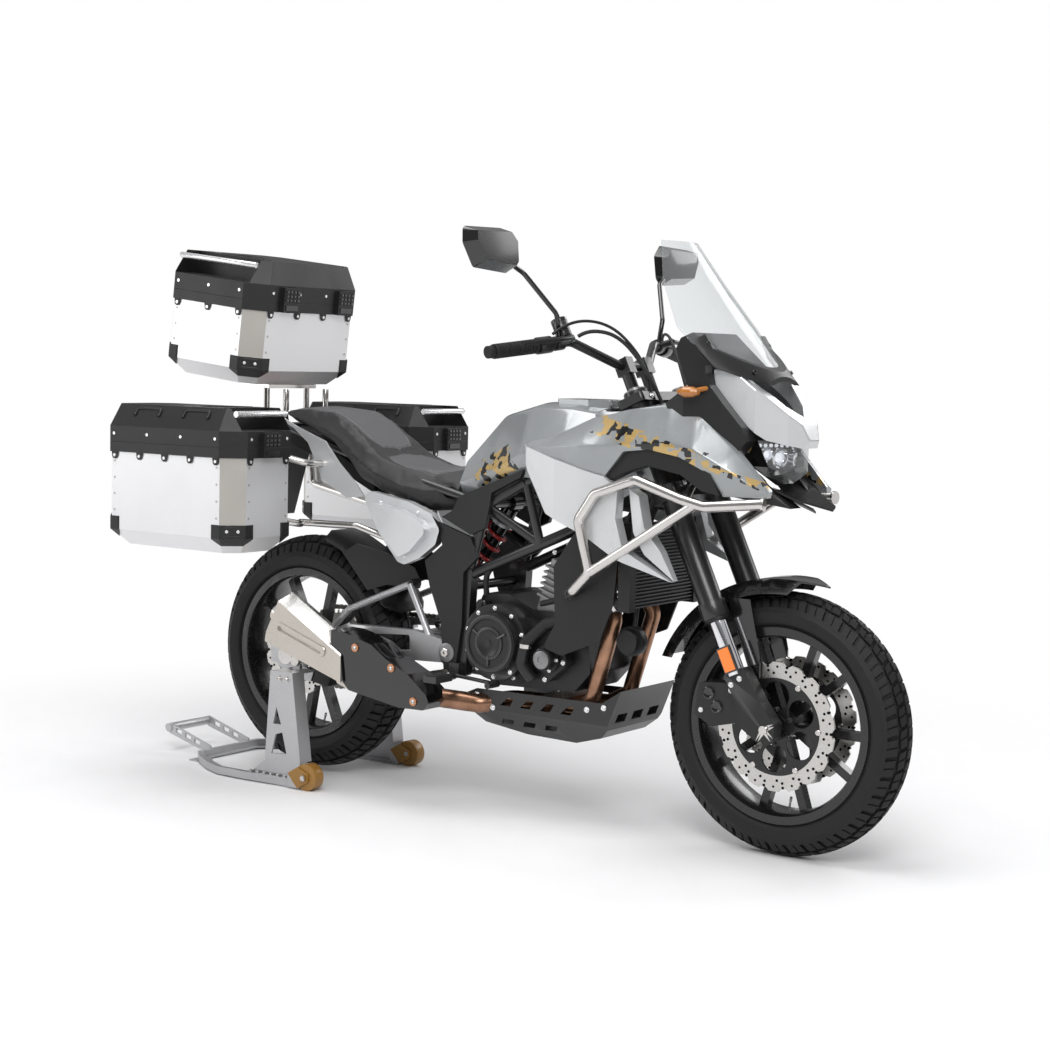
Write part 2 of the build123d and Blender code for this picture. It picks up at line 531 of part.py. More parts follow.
# The roof of the can: two facets that fall from a ridge to the long upper edges.
ROOF_REAR, ROOF_FRONT, ROOF_RISE = Vector(78, SILENCER_OUT, 487), Vector(285, SILENCER_OUT, 370), 20.0
roof_plane = Plane(origin=ROOF_REAR - (ROOF_FRONT - ROOF_REAR), x_dir=(0, 1, 0), z_dir=ROOF_FRONT - ROOF_REAR)
above_roof = Polyline((-2, -1), (SILENCER_HALF, ROOF_RISE), (2 * SILENCER_HALF + 2, -1),
                      (2 * SILENCER_HALF + 2, 120), (-2, 120), close=True)
silencer = silencer - extrude(roof_plane * make_face(above_roof), 3 * (ROOF_FRONT - ROOF_REAR).length)
# The pressed oblong on its outer side: a raised frame round a shallow window.
oblong = [(58, 412), (68, 440), (238, 384), (230, 357)]
oblong_window = [(72, 417), (77, 429), (226, 380), (221, 367)]
silencer = silencer + side_plate(oblong, SILENCER_OUT - 4, SILENCER_OUT + 1, 13)
silencer = silencer - side_plate(oblong_window, SILENCER_OUT - 5, SILENCER_OUT + 3, 6)
tailpipe = rod((60, SILENCER_Y, 440), (22, SILENCER_Y, 452), 22)
silencer = silencer + tailpipe
shield_outline = [(240, 432), (289, 431), (380, 408), (430, 376), (500, 345), (558, 300), (567, 281),
                  (550, 261),
                  (472, 259), (310, 284), (270, 298)]
shield = side_plate(shield_outline, SILENCER_OUT + 6, SILENCER_Y + SILENCER_HALF - 4, 6)
pieces["silencer"] = [silencer, largest(cut(shield, silencer, pieces["exhaust_headers"]))]

# ---------------------------------------------------------------- skid plate
SKID_T, SKID_HALF, SKID_FLOOR = 4.0, 124.0, 204.0
skid_side = [(600, 300), (628, 312), (1000, 318), (1052, 352), (1012, 252), (985, 228), (903, 204),
             (760, 207),
             (640, 226), (600, 262)]
skid_room = [(590, 330), (994, 330), (1060, 400), (1006, 258), (980, 233), (902, 208), (760, 211), (642, 230),
             (590, 268)]


def skid_profile(inset):
    """The plate's cross section: upright sides over flanks that lean in to the floor."""
    half, low = SKID_HALF - inset, SKID_FLOOR - 1 + inset
    return cross_plate([(-half, 420), (-half, 264), (-half + 42, low), (half - 42, low), (half, 264),
                        (half, 420)],
                       560, 1100)


skid = (side_plate(skid_side, -200, 200) & skid_profile(0)) - (
    side_plate(skid_room, -200, 200) & skid_profile(SKID_T))
for x in (700, 760, 820, 880):
    skid = skid - side_plate([(x, 278), (x + 22, 298), (x + 42, 298), (x + 30, 278)], -200, 200)
for x in (690, 755, 820):
    skid = skid - side_plate([(x, 228), (x + 10, 242), (x + 44, 242), (x + 34, 228)], -200, 200)
for y in (-72, 0, 72):
    skid = skid - brick((1000, y - 22, 268), (1070, y + 22, 290))
pieces["skid_plate"] = cut(skid, pieces["exhaust_headers"])

# ---------------------------------------------------------------- swingarm and rear axle
ARM_IN, ARM_OUT = 101.0, 124.0
ARM_MID = (ARM_IN + ARM_OUT) / 2
arm_side = [(PIVOT.X + 22, PIVOT.Z + 20), (PIVOT.X - 120, PIVOT.Z + 42), (200, 432), (40, 366), (-62, 352),
            (-62, 306), (40, 298), (220, 352), (PIVOT.X - 60, PIVOT.Z - 32), (PIVOT.X + 18, PIVOT.Z - 28)]
arm_window = [(240, 412), (410, 424), (420, 384), (260, 372)]


def arm_leg():
    leg = side_plate(arm_side, ARM_IN, ARM_OUT, 6) - side_plate(arm_window, 0, 200, 6)
    truss = rod((130, ARM_MID, 400), (200, ARM_MID, 470), 9) + rod((200, ARM_MID, 470), (400, ARM_MID, 552),
                                                                   9)
    truss = truss + rod((400, ARM_MID, 552), (470, ARM_MID, 420), 9)
    return leg + truss


bridge = brick((395, -ARM_IN - 2, 372), (455, ARM_IN + 2, 428))
arm = fuse(arm_leg(), right(arm_leg()), bridge)
axle_hole = disc(REAR_AXLE, REAR_AXLE_R, -150, 150)
pieces["swingarm"] = cut(arm, axle_hole, pieces["frame_main"], *pieces["engine_block"])
REAR_AXLE_HALF = ARM_OUT + 14
rear_axle = disc(REAR_AXLE, REAR_AXLE_R, -REAR_AXLE_HALF, REAR_AXLE_HALF)
for side in (-1, 1):
    rear_axle = rear_axle + disc(REAR_AXLE, 21, *sorted((side * ARM_OUT, side * (ARM_OUT + 12))))
    rear_axle = rear_axle + disc(REAR_AXLE, 19, *sorted((side * (REAR_SEAT_OUT + SEAM), side * ARM_IN)))
    spool_at = Vector(52, 0, 322)
    rear_axle = rear_axle + disc(spool_at, 8, *sorted((side * ARM_OUT, side * (ARM_OUT + 34))))
    rear_axle = rear_axle + disc(spool_at, 14, *sorted((side * (ARM_OUT + 26), side * (ARM_OUT + 34))))
AXLE_BORE_R, AXLE_BORE_DEPTH = 8.0, 38.0    # the bored ends take a stand's pin or an axle slider
for side in (-1, 1):
    bore_ends = sorted((side * (REAR_AXLE_HALF - AXLE_BORE_DEPTH), side * (REAR_AXLE_HALF + 1)))
    rear_axle = rear_axle - disc(REAR_AXLE, AXLE_BORE_R, *bore_ends)
pieces["rear_axle"] = rear_axle

# ---------------------------------------------------------------- chain drive, on the left
CHAIN_T, CHAIN_GAP = 15.0, 1.2
FRONT_SPROCKET = Vector(600, 0, 402)
FRONT_SPROCKET_R = 36.0
CHAIN_Y = SPROCKET_Y


def chain_loop(inset):
    """The outline round both chain wheels, moved out from the teeth by the inset."""
    small, large = FRONT_SPROCKET_R + inset, SPROCKET_R + 4 + inset
    gap = placed(FRONT_SPROCKET) - placed(REAR_AXLE)
    lean = math.atan2(gap.Z, gap.X)
    turn = math.acos((large - small) / math.hypot(gap.X, gap.Z))

    def at(centre, radius, angle):
        return (station(centre.X) + radius * math.cos(angle), centre.Z + radius * math.sin(angle))
    up, down = lean + turn, lean - turn
    return Wire([
        Line(at(REAR_AXLE, large, up), at(FRONT_SPROCKET, small, up)),
        ThreePointArc(at(FRONT_SPROCKET, small, up), at(FRONT_SPROCKET, small, lean),
                      at(FRONT_SPROCKET, small, down)),
        Line(at(FRONT_SPROCKET, small, down), at(REAR_AXLE, large, down)),
        ThreePointArc(at(REAR_AXLE, large, down), at(REAR_AXLE, large, lean + math.pi),
                      at(REAR_AXLE, large, up))])


def chain_band(y_low, y_high, inner, outer):
    band = Plane.XZ * make_face(chain_loop(outer)) - Plane.XZ * make_face(chain_loop(inner))
    return Pos(0, y_high, 0) * extrude(band, y_high - y_low)


pieces["drive_chain"] = chain_band(CHAIN_Y - 8, CHAIN_Y + 8, CHAIN_GAP, CHAIN_GAP + CHAIN_T)
chain_way = chain_band(CHAIN_Y - 10, CHAIN_Y + 10, -4, CHAIN_GAP + CHAIN_T + 2)
pieces["swingarm"] = largest(cut(pieces["swingarm"], chain_way))
engine_case = largest(cut(pieces["engine_block"][0], chain_way))
front_wheel = disc(FRONT_SPROCKET, FRONT_SPROCKET_R + CHAIN_GAP - SEAM, CHAIN_Y - 4, CHAIN_Y + 4)
front_wheel = front_wheel + disc(FRONT_SPROCKET, 14, ENGINE_HALF - 30, CHAIN_Y)
pieces["engine_block"] = [engine_case + front_wheel] + [
    largest(cut(solid, chain_way, front_wheel)) for solid in pieces["engine_block"][1:]]

# ---------------------------------------------------------------- rear mudguard and brake
hugger_ring = wheel_ring(REAR_AXLE, [(322, -84), (330, -84), (346, -50), (346, 50), (330, 84), (322, 84),
                                     (322, 79),
                                     (341, 46), (341, -46), (322, -79)])
hugger_side = [(60, 720), (110, 590), (200, 540), (310, 470), (420, 400), (440, 560), (330, 660), (220, 720)]
hugger = hugger_ring & side_plate(hugger_side, -90, 90)
wing_plate = side_plate([(150, 612), (196, 640), (300, 622), (392, 590), (412, 560), (408, 540), (300, 540),
                         (236, 520)], 79, 84)
hugger_link = rod((400, 80, 552), (400, ARM_MID, 552), 12)
hugger = fuse(hugger, wing_plate, right(wing_plate), hugger_link, right(hugger_link))
pieces["rear_hugger"] = largest(cut(hugger, pieces["swingarm"], pieces["frame_main"], chain_way))
carrier = side_plate([(-24, 352), (-60, 300), (-20, 262), (60, 262), (70, 290), (30, 300), (24, 340)],
                     -ARM_IN + SEAM, -REAR_DISC_Y - DISC_T / 2 - 1.2, 6)
rear_caliper_body = side_plate([(56, 262), (46, 338), (108, 352), (134, 302), (116, 252)], -97, -50, 6)
rear_slot = disc(REAR_AXLE, REAR_DISC_R + 4, -REAR_DISC_Y - 5, -REAR_DISC_Y + 5)
rear_caliper = cut(fuse(rear_caliper_body, carrier), rear_slot, pieces["rear_axle"], pieces["swingarm"],
                   disc(REAR_AXLE, HUB_R + 4, -REAR_SEAT_OUT - 1, 0))
arm_alone = pieces["swingarm"]
pieces["swingarm"] = [arm_alone, largest(rear_caliper)]

# ---------------------------------------------------------------- tank and bodywork
SHROUD_Y = 208.0            # widest point of the tank's shrouds
TANK_TOP = 1030.0


def section(x, low, bottom_half, mid, mid_half, high, top_half, crown):
    """A cross section of the tank: flat bottom, leaning sides, crowned top."""
    outline = [Line((-bottom_half, low), (-mid_half, mid)), Line((-mid_half, mid), (-top_half, high)),
               ThreePointArc((-top_half, high), (0, high + crown), (top_half, high)),
               Line((top_half, high), (mid_half, mid)), Line((mid_half, mid), (bottom_half, low)),
               Line((bottom_half, low), (-bottom_half, low))]
    return Plane(origin=(station(x), 0, 0), x_dir=(0, 1, 0), z_dir=(1, 0, 0)) * make_face(Wire(outline))


tank_stations = (  # x, low, bottom half, mid, mid half, high, top half, crown
    (552, 790, 96, 822, 112, 872, 82, 4),
    (650, 796, 104, 850, 128, 986, 60, 12),
    (760, 830, 120, 900, 156, 1014, 92, 14),
    (880, 856, 130, 930, 164, 1014, 104, 16),
    (962, 880, 130, 944, 164, 1004, 104, 14),
)
tank = loft([section(*row) for row in tank_stations], ruled=True)
FORK_SWEEP_R = 158.0        # room round the steering axis for the clamps and the fork legs
FORK_SWEEP_BACK = 92.0


def wing_section(x, y_in, z_in, y_ridge, z_ridge, y_out, z_out, y_low, z_low):
    """A cross section of the left shroud: inner top, ridge, widest point, lower edge."""
    points = [(y_in, z_in), (y_ridge, z_ridge), (y_out, z_out), (y_low, z_low), (y_in + 6, z_low)]
    return Plane(origin=(station(x), 0, 0), x_dir=(0, 1, 0),
                 z_dir=(1, 0, 0)) * make_face(Polyline(*points, close=True))


wing_stations = (  # x, inner top y z, ridge y z, widest y z, lower edge y z
    (796, 140, 938, 166, 934, 178, 922, 172, 902),
    (880, 128, 962, 158, 956, 198, 926, 192, 880),
    (970, 108, 1004, 150, 998, SHROUD_Y - 2, 934, 202, 862),
    (1080, 112, 1030, 162, 1022, SHROUD_Y, 942, 202, 850),
    (1200, 122, 1046, 168, 1038, SHROUD_Y, 952, 200, 842),
    (1270, 134, 1024, 168, 1014, 204, 942, 196, 838),
    (1350, 140, 952, 162, 946, 190, 900, 184, 836),
    (1442, 132, 852, 146, 850, 160, 846, 158, 836),
)
wing = loft([wing_section(*row) for row in wing_stations], ruled=True)
arch_side = [(980, 820), (1040, 866), (1092, 926), (1160, 934), (1240, 920), (1316, 884), (1348, 832),
             (1348, 780),
             (980, 780)]
lower_side = [(780, 930), (800, 924), (990, 876), (1040, 866), (1040, 780), (780, 780)]
wing = cut(wing, side_plate(arch_side, 100, 260), side_plate(lower_side, 100, 260))
filler = fuse(flat_plate([(800, -52), (800, 52), (900, 64), (948, 40), (948, -40), (900, -64)], TANK_TOP - 16,
                         TANK_TOP + 8, 6))
SWEEP_LOW, SWEEP_HIGH = LOWER_CLAMP_W - 60, LEG_TOP_W + 6
fork_sweep = fork_rod(STEER_U, 0, SWEEP_LOW, SWEEP_HIGH, FORK_SWEEP_R) - FORK * Pos(
    STEER_U - FORK_SWEEP_BACK - 200, 0, (SWEEP_LOW + SWEEP_HIGH) / 2) * Box(400, 400, 400)
wing = largest(cut(wing, fork_sweep))
tank_all = cut(fuse(tank, wing, right(wing)), fork_sweep)
tank_body = cut(tank_all, pieces["frame_main"], rear_subframe, pieces["cylinder_head"])
pieces["fuel_tank"] = [tank_body, largest(cut(filler, tank_body))]

# Silver blades under the shrouds: a broad one and a narrow one with a slot between.
blade_side = [(782, 928), (800, 924), (990, 876), (1040, 866), (1082, 838), (1078, 770), (1100, 700),
              (1222, 632),
              (1080, 676), (990, 724), (935, 744), (872, 768), (806, 866)]
slit_side = [(1100, 840), (1130, 826), (1148, 752), (1190, 700), (1226, 634), (1150, 690), (1116, 740)]
blade_plan = [(780, 158), (800, 180), (900, 204), (1100, 212), (1240, 188), (1240, 168), (1100, 180),
              (900, 172),
              (820, 166)]
slit_plan = [(780, 140), (1100, 152), (1240, 168), (1240, 184), (1140, 196), (1100, 190), (1040, 170),
             (780, 150)]
left_blades = [largest(side_plate(blade_side, 100, 260) & flat_plate(blade_plan, 600, 1000)),
               largest(side_plate(slit_side, 100, 260) & flat_plate(slit_plan, 600, 1000))]
blade_lug = rod((900, 150, 850), (900, 190, 850), 9)        # holds the blade to the tank's side
left_blades[0] = largest(cut(left_blades[0], wing) + cut(blade_lug, tank_all))
left_blades[1] = largest(cut(left_blades[1], wing, left_blades[0]))
pieces["side_blades"] = left_blades + [right(blade) for blade in left_blades]

# Dark inner panels that close the arch behind the shrouds.
inner_side = [(1030, 848), (1040, 868), (1092, 928), (1160, 936), (1240, 922), (1316, 886), (1342, 838),
              (1296, 846),
              (1240, 880), (1150, 896), (1096, 880)]
inner = side_plate(inner_side, 158, 196)
lower_guard = side_plate([(872, 640), (880, 500), (846, 440), (900, 426), (1008, 470), (1044, 560),
                          (1056, 690),
                          (980, 716), (930, 724)], 150, 156, 10)
left_inner = largest(cut(inner, tank_body, *left_blades, fork_sweep))
left_guard = largest(cut(lower_guard, *left_blades, pieces["frame_main"], *pieces["engine_block"]))
right_guard = largest(cut(right(left_guard), *pieces["engine_block"]))      # clears the coolant hose

# Nose: cowl, headlight, side panels, beak, screen, dash.
cowl_side = [(1284, 1120), (1330, 1118), (1400, 1060), (1462, 1000), (1476, 962), (1466, 944), (1400, 962),
             (1362, 992), (1284, 1084)]
cowl_plan = [(1280, 96), (1280, 136), (1380, 112), (1440, 64), (1478, 20), (1478, -20), (1440, -64),
             (1380, -112),
             (1280, -136), (1280, -96), (1360, -84), (1420, -40), (1444, 0), (1420, 40), (1360, 84)]
cowl = side_plate(cowl_side, -140, 140) & flat_plate(cowl_plan, 900, 1150)
pieces["nose_cowl"] = cowl
insert = side_plate([(1296, 1094), (1450, 982), (1442, 970), (1292, 1080)], -96, 96) & flat_plate(
    [(1292, -110), (1366, -96), (1430, -50), (1456, 0), (1430, 50), (1366, 96), (1292, 110)], 900, 1120)
lamp_side = [(1376, 962), (1400, 962 - SEAM), (1444, 944), (1440, 900), (1412, 862), (1380, 880), (1350, 930)]
lamp_plan = [(1340, -70), (1384, -102), (1430, -60), (1446, 0), (1430, 60), (1384, 102), (1340, 70)]
lamp_front = [(-102, 962), (102, 962), (84, 902), (24, 862), (-24, 862), (-84, 902)]
lamp = side_plate(lamp_side, -110, 110) & flat_plate(lamp_plan, 850, 980) & cross_plate(lamp_front, 1300,
                                                                                        1500)
INDICATOR = (1256, 198, 1068)
indicator_stalk = rod((1300, 140, 1082), INDICATOR, 6)
indicator = loft([Plane(origin=placed((INDICATOR[0] + x, INDICATOR[1], INDICATOR[2])),
                        z_dir=(1, 0, 0)) * Ellipse(a, b)
                  for x, a, b in ((-26, 6, 8), (-8, 13, 17), (12, 12, 15), (26, 6, 8))], ruled=True)
left_indicator = indicator + indicator_stalk
pieces["headlight"] = cut(lamp, cowl)
nose_panel_side = [(1180, 1040), (1216, 1064), (1284, 1112), (1290, 1084), (1366, 990), (1378, 960),
                   (1352, 928),
                   (1384, 876), (1412, 856), (1446, 832), (1470, 812), (1430, 820), (1340, 836), (1300, 870),
                   (1240, 940), (1196, 1010)]
nose_panel = side_plate(nose_panel_side, 40, 200) & flat_plate(
    [(1170, 128), (1170, 170), (1230, 176), (1320, 160), (1400, 134), (1480, 92), (1480, 40), (1420, 70),
     (1376, 98), (1290, 120)], 780, 1130)
left_nose = largest(cut(nose_panel, tank_body, pieces["nose_cowl"], pieces["headlight"]))
left_indicator = largest(cut(left_indicator, left_nose, tank_body, cowl))
pieces["headlight"] = [pieces["headlight"]] + both(left_indicator)
insert = largest(cut(insert, cowl))
pieces["infill_panels"] = [insert] + both(left_nose) + both(left_inner) + [left_guard, right_guard]
# The fairing's stay, bolted to the front of the head tube.
stay_low, stay_high = fork_point(STEER_U + 22, 0, HEAD_LOW_W + 44), fork_point(STEER_U + 22, 0,
                                                                               HEAD_LOW_W + 90)
stay = fuse(rod(stay_low, (1330, 0, 920), 12), brick((1318, -110, 900), (1334, 110, 924)),
            brick((1318, -16, 846), (1330, 16, 924)), brick((1326, -60, 898), (1350, 60, 920)),
            rod(stay_high, (1270, 0, 1090), 10), brick((1262, -136, 1084), (1280, 136, 1128)))
stay = largest(cut(stay, pieces["frame_main"], *pieces["headlight"], pieces["nose_cowl"],
                   *pieces["infill_panels"], tank_body))
pieces["subframes"] = [rear_subframe, stay]
BEAK_T = 5.0
beak_stations = (  # x, inner edge y z, outer edge y z
    (1372, 12, 838, 94, 864),
    (1430, 14, 826, 90, 852),
    (1506, 42, 806, 56, 814),
)


def beak_section(x, y_in, z_in, y_out, z_out):
    points = [(y_in, z_in), (y_out, z_out), (y_out, z_out - BEAK_T), (y_in, z_in - BEAK_T)]
    return Plane(origin=(station(x), 0, 0), x_dir=(0, 1, 0),
                 z_dir=(1, 0, 0)) * make_face(Polyline(*points, close=True))


beak_blade = loft([beak_section(*row) for row in beak_stations], ruled=True)
beak_stay = brick((1330, -16, 830), (1390, 16, 846))        # carries the beak from the lamp's stay
beak = cut(fuse(beak_blade, right(beak_blade), beak_stay), *pieces["headlight"], *pieces["infill_panels"],
           pieces["nose_cowl"], stay)
pieces["infill_panels"].append(beak)


def screen_section(z, x_edge, half, bulge, thickness):
    """A level slice of the screen: an arc from edge to edge."""
    x_edge = station(x_edge)
    outer = ThreePointArc((x_edge, -half), (x_edge + bulge, 0), (x_edge, half))
    inner = ThreePointArc((x_edge - thickness, half - thickness), (x_edge + bulge - thickness, 0),
                          (x_edge - thickness, -half + thickness))
    closing = [Line((x_edge, half), (x_edge - thickness, half - thickness)),
               Line((x_edge - thickness, -half + thickness), (x_edge, -half))]
    return Pos(0, 0, z) * make_face(Wire([outer, closing[0], inner, closing[1]]))


screen_rows = ((1000, 1428, 24, 22), (1030, 1392, 66, 52), (1110, 1300, 142, 78), (1215, 1208, 176, 76),
               (1320, 1146, 140, 50),
               (1416, 1104, 84, 22))
screen = loft([screen_section(z, x, half, bulge, 4.0) for z, x, half, bulge in screen_rows], ruled=True)
# It ends on a black seat that follows its lower edge from side to side.
under_seat = side_plate([(1236, 1180), (1281, 1156), (1400, 1096), (1520, 1040), (1520, 900), (1200, 900)],
                        -200, 200)
seat_rows = ((1080, 1334, 134, 84), (1110, 1308, 150, 80), (1215, 1216, 184, 78))
screen_seat = loft([screen_section(z, x, half, bulge, 11.0) for z, x, half, bulge in seat_rows], ruled=True)
screen_seat = screen_seat & side_plate([(1250, 1186), (1262, 1200), (1284, 1166), (1392, 1112), (1392, 1086),
                                        (1292, 1124), (1262, 1150)], -200, 200)
screen_seat = largest(cut(screen_seat, pieces["nose_cowl"], insert, stay))
pieces["infill_panels"].append(screen_seat)
pieces["windscreen"] = largest(cut(screen, under_seat, pieces["nose_cowl"], screen_seat, stay))
dash_side = [(1192, 1080), (1160, 1166), (1172, 1190), (1206, 1204), (1292, 1128), (1284, 1104), (1214, 1074)]
dash = side_plate(dash_side, -98, 98, 8)
pieces["dash"] = largest(cut(dash, pieces["windscreen"], stay, pieces["nose_cowl"]))

# ---------------------------------------------------------------- crash bars
CRASH_Y = 226.0


def crash_side():
    hoop = tube([(798, 116, 556), (880, 122, 560), (952, 190, 590), (1008, CRASH_Y - 20, 640),
                 (986, CRASH_Y, 762),
                 (1030, CRASH_Y, 826), (1140, CRASH_Y, 864), (1250, CRASH_Y - 16, 826), (1310, 206, 812),
                 (1440, 176, 824)], CRASH_TUBE_R, 24)
    brace = rod((1012, CRASH_Y - 18, 640), (1284, CRASH_Y - 20, 814), CRASH_TUBE_R - 0.5)
    boss = rod((806, 80, 546), (806, 118, 556), 14)
    tie = rod((1250, 150, 862), (1262, CRASH_Y - 18, 824), 9)
    ring = rod((1440, 176, 824), (1446, 175, 824), CRASH_TUBE_R + 3)
    return fuse(hoop, brace, boss, tie, ring)


left_crash = largest(cut(crash_side(), tank_body, *pieces["side_blades"], *pieces["infill_panels"],
                         pieces["cylinder_head"], *pieces["engine_block"]))
pieces["crash_bars"] = both(left_crash)

# ---------------------------------------------------------------- seat, side covers, knee panels


def seat_section(x, low, low_half, edge, edge_half, top, top_half, crown):
    """A cross section of the seat: base, widest line, shoulder and crowned top."""
    outline = [Line((-low_half, low), (-edge_half, edge)), Line((-edge_half, edge), (-top_half, top)),
               ThreePointArc((-top_half, top), (0, top + crown), (top_half, top)),
               Line((top_half, top), (edge_half, edge)), Line((edge_half, edge), (low_half, low)),
               Line((low_half, low), (-low_half, low))]
    return Plane(origin=(station(x), 0, 0), x_dir=(0, 1, 0), z_dir=(1, 0, 0)) * make_face(Wire(outline))


seat_stations = (  # x, low, low half, edge, edge half, top, top half, crown
    (-58, 958, 84, 968, 96, 978, 84, 6),
    (30, 938, 100, 954, 118, 984, 96, 8),
    (120, 906, 106, 930, 128, 978, 98, 8),
    (180, 862, 112, 900, 134, 950, 102, 6),
    (232, 812, 118, 862, 142, 916, 108, 2),
    (292, 786, 122, 832, 152, 872, 116, -3),
    (372, 764, 124, 806, 152, 848, 112, -4),
    (460, 742, 112, 794, 138, 844, 92, 2),
    (550, 752, 92, 806, 112, 862, 66, 6),
)
seat = loft([seat_section(*row) for row in seat_stations], ruled=True)
pieces["seat"] = largest(cut(seat, tank_body, pieces["frame_main"], rear_subframe))
cover_side = [(272, 770), (296, 786), (420, 766), (494, 740), (520, 702), (508, 664), (458, 626), (410, 606),
              (388, 612), (326, 680)]
side_cover = side_plate(cover_side, 126, 150, 14) + side_plate(
    [(300, 762), (412, 746), (480, 720), (494, 694), (446, 644), (408, 626), (346, 686)], 150, 176, 14)
left_cover_shell = largest(cut(side_cover, pieces["seat"], rear_subframe, pieces["rear_hugger"]))
pieces["side_covers"] = both(left_cover_shell)
knee_side = [(524, 735), (556, 752), (578, 790), (770, 866), (762, 846), (676, 804), (668, 758), (656, 714),
             (614, 696)]
knee = side_plate(knee_side, 133, 146)
pivot_side = [(505, 722), (612, 690), (634, 640), (592, 600), (590, 470), (572, 352), (536, 352), (524, 470),
              (486, 560), (470, 620), (524, 664)]
pivot_cover = side_plate(pivot_side, 133, 142)
left_knee = cut(knee, pieces["seat"], tank_body, left_blades[0], rear_subframe)
left_pivot = cut(pivot_cover, left_knee, left_cover_shell, pieces["frame_main"], rear_subframe)
pieces["side_covers"] = pieces["side_covers"] + both(largest(left_knee)) + both(largest(left_pivot))

# ---------------------------------------------------------------- tail and luggage rack
CASE_PITCH = 6.5            # the top case leans forward on its plate, degrees
TOP_CASE = Plane(origin=(-242, 0, 1062), x_dir=Vector(1, 0, 0).rotate(Axis.Y, CASE_PITCH),
                 z_dir=Vector(0, 0, 1).rotate(Axis.Y, CASE_PITCH))
TOP_L, TOP_W, TOP_BODY_H, TOP_LID_H = 340.0, 430.0, 224.0, 104.0
PAN_L, PAN_D, PAN_BODY_H, PAN_LID_H = 472.0, 246.0, 266.0, 96.0
PAN_FRONT_X, PAN_MID_Y, PAN_BOTTOM = 146.0, 374.0, 630.0
CASE_CHAMFER, BASE_CHAMFER = 46.0, 40.0
GUARD_T, GUARD_W, GUARD_H = 3.0, 104.0, 74.0
POCKET_L, POCKET_CHEEK, CARRY_R, BAR_DROP = 88.0, 34.0, 8.0, 14.0
LATCH_W, LATCH_T = 62.0, 14.0
RIM_H, RIM_OUT = 26.0, 6.0
PLATE_T = 10.0
panel_side = [(-30, 958), (20, 936), (70, 900), (124, 806), (206, 762), (262, 770), (236, 800), (176, 852),
              (128, 906), (30, 940), (-20, 962)]
tail_panel = side_plate(panel_side, 130.5, 138)
tail_core = side_plate([(-90, 905), (-60, 940), (100, 880), (230, 812), (250, 770), (120, 830)], -70, 70)
lamp_box = brick((-112, -60, 896), (-88, 60, 932))
plate_holder = side_plate([(-96, 896), (-84, 900), (-150, 690), (-162, 694)], -60, 60)
stalk_left = rod((-108, 50, 880), (-110, 132, 868), 7) + rod((-110, 132, 868), (-112, 172, 866), 15)
tail = fuse(tail_core, lamp_box, plate_holder, stalk_left, right(stalk_left))
left_tail_panel = largest(cut(tail_panel, pieces["seat"], left_cover_shell, rear_subframe))
pieces["side_covers"] = pieces["side_covers"] + both(left_tail_panel)
pieces["tail_unit"] = largest(cut(tail, pieces["seat"], rear_subframe))
rack_plate = TOP_CASE * Pos(10, 0, -SEAM - PLATE_T / 2) * Box(TOP_L - 90, 190, PLATE_T)
rack_slots = [TOP_CASE * Pos(x, 0, -8) * Box(26, 120, 30) for x in (-70, -10, 50, 110)]
rack_posts = [rod((x, y, z), (x, y, TOP_CASE.origin.Z - 6 - math.tan(math.radians(CASE_PITCH)) * (x + 242)),
                  8)
              for x, z in ((-130, 925), (-60, 949)) for y in (-80, 80)]
rack_rails = [rod((-145, y, 929), (-60, y, 949), 8) for y in (-80, 80)]


def rack_side():
    """Left half of the luggage rack: pannier loops and their struts."""
    loop = tube([(60, 150, 690), (96, 190, 690), (60, 236, 700), (-240, 236, 760), (-250, 236, 860),
                 (-200, 236, 878), (60, 236, 868), (110, 190, 850), (120, 130, 846)], 9, 20)
    lower = tube([(350, 128, 664), (250, 150, 694), (60, 150, 690)], 9, 40)
    return fuse(loop, lower)


rack_left = rack_side()
top_rack = largest(cut(fuse(cut(rack_plate, *rack_slots), *rack_posts, *rack_rails), pieces["seat"],
                       pieces["tail_unit"], rear_subframe))
rack_left = cut(rack_left, *pieces["side_covers"], *pieces["silencer"], pieces["rear_hugger"], pieces["seat"],
                rear_subframe, pieces["tail_unit"])


def case_outline(length, width, chamfer):
    x, y = length / 2, width / 2
    return [(-x + chamfer, -y), (x - chamfer, -y), (x, -y + chamfer), (x, y - chamfer), (x - chamfer, y),
            (-x + chamfer, y), (-x, y - chamfer), (-x, -y + chamfer)]


def corner_guards(length, width):
    """Moulded guards on the four lower corners, standing a little proud of the box."""
    outline = make_face(Polyline(*case_outline(length + 2 * GUARD_T, width + 2 * GUARD_T, CASE_CHAMFER),
                                 close=True))
    base = make_face(Polyline(*case_outline(length - 2 * BASE_CHAMFER + 2 * GUARD_T,
                                            width - 2 * BASE_CHAMFER + 2 * GUARD_T, CASE_CHAMFER - 14),
                              close=True))
    grown = loft([base, Pos(0, 0, BASE_CHAMFER) * outline], ruled=True) + extrude(
        Pos(0, 0, BASE_CHAMFER) * outline, GUARD_H - BASE_CHAMFER)
    corners = [Pos(x * length / 2, y * width / 2,
                   GUARD_H / 2) * (Rot(0, 0, 45) * Box(GUARD_W, GUARD_W, GUARD_H))
               for x in (-1, 1) for y in (-1, 1)]
    return [solid for corner in corners for solid in (grown & corner).solids()]


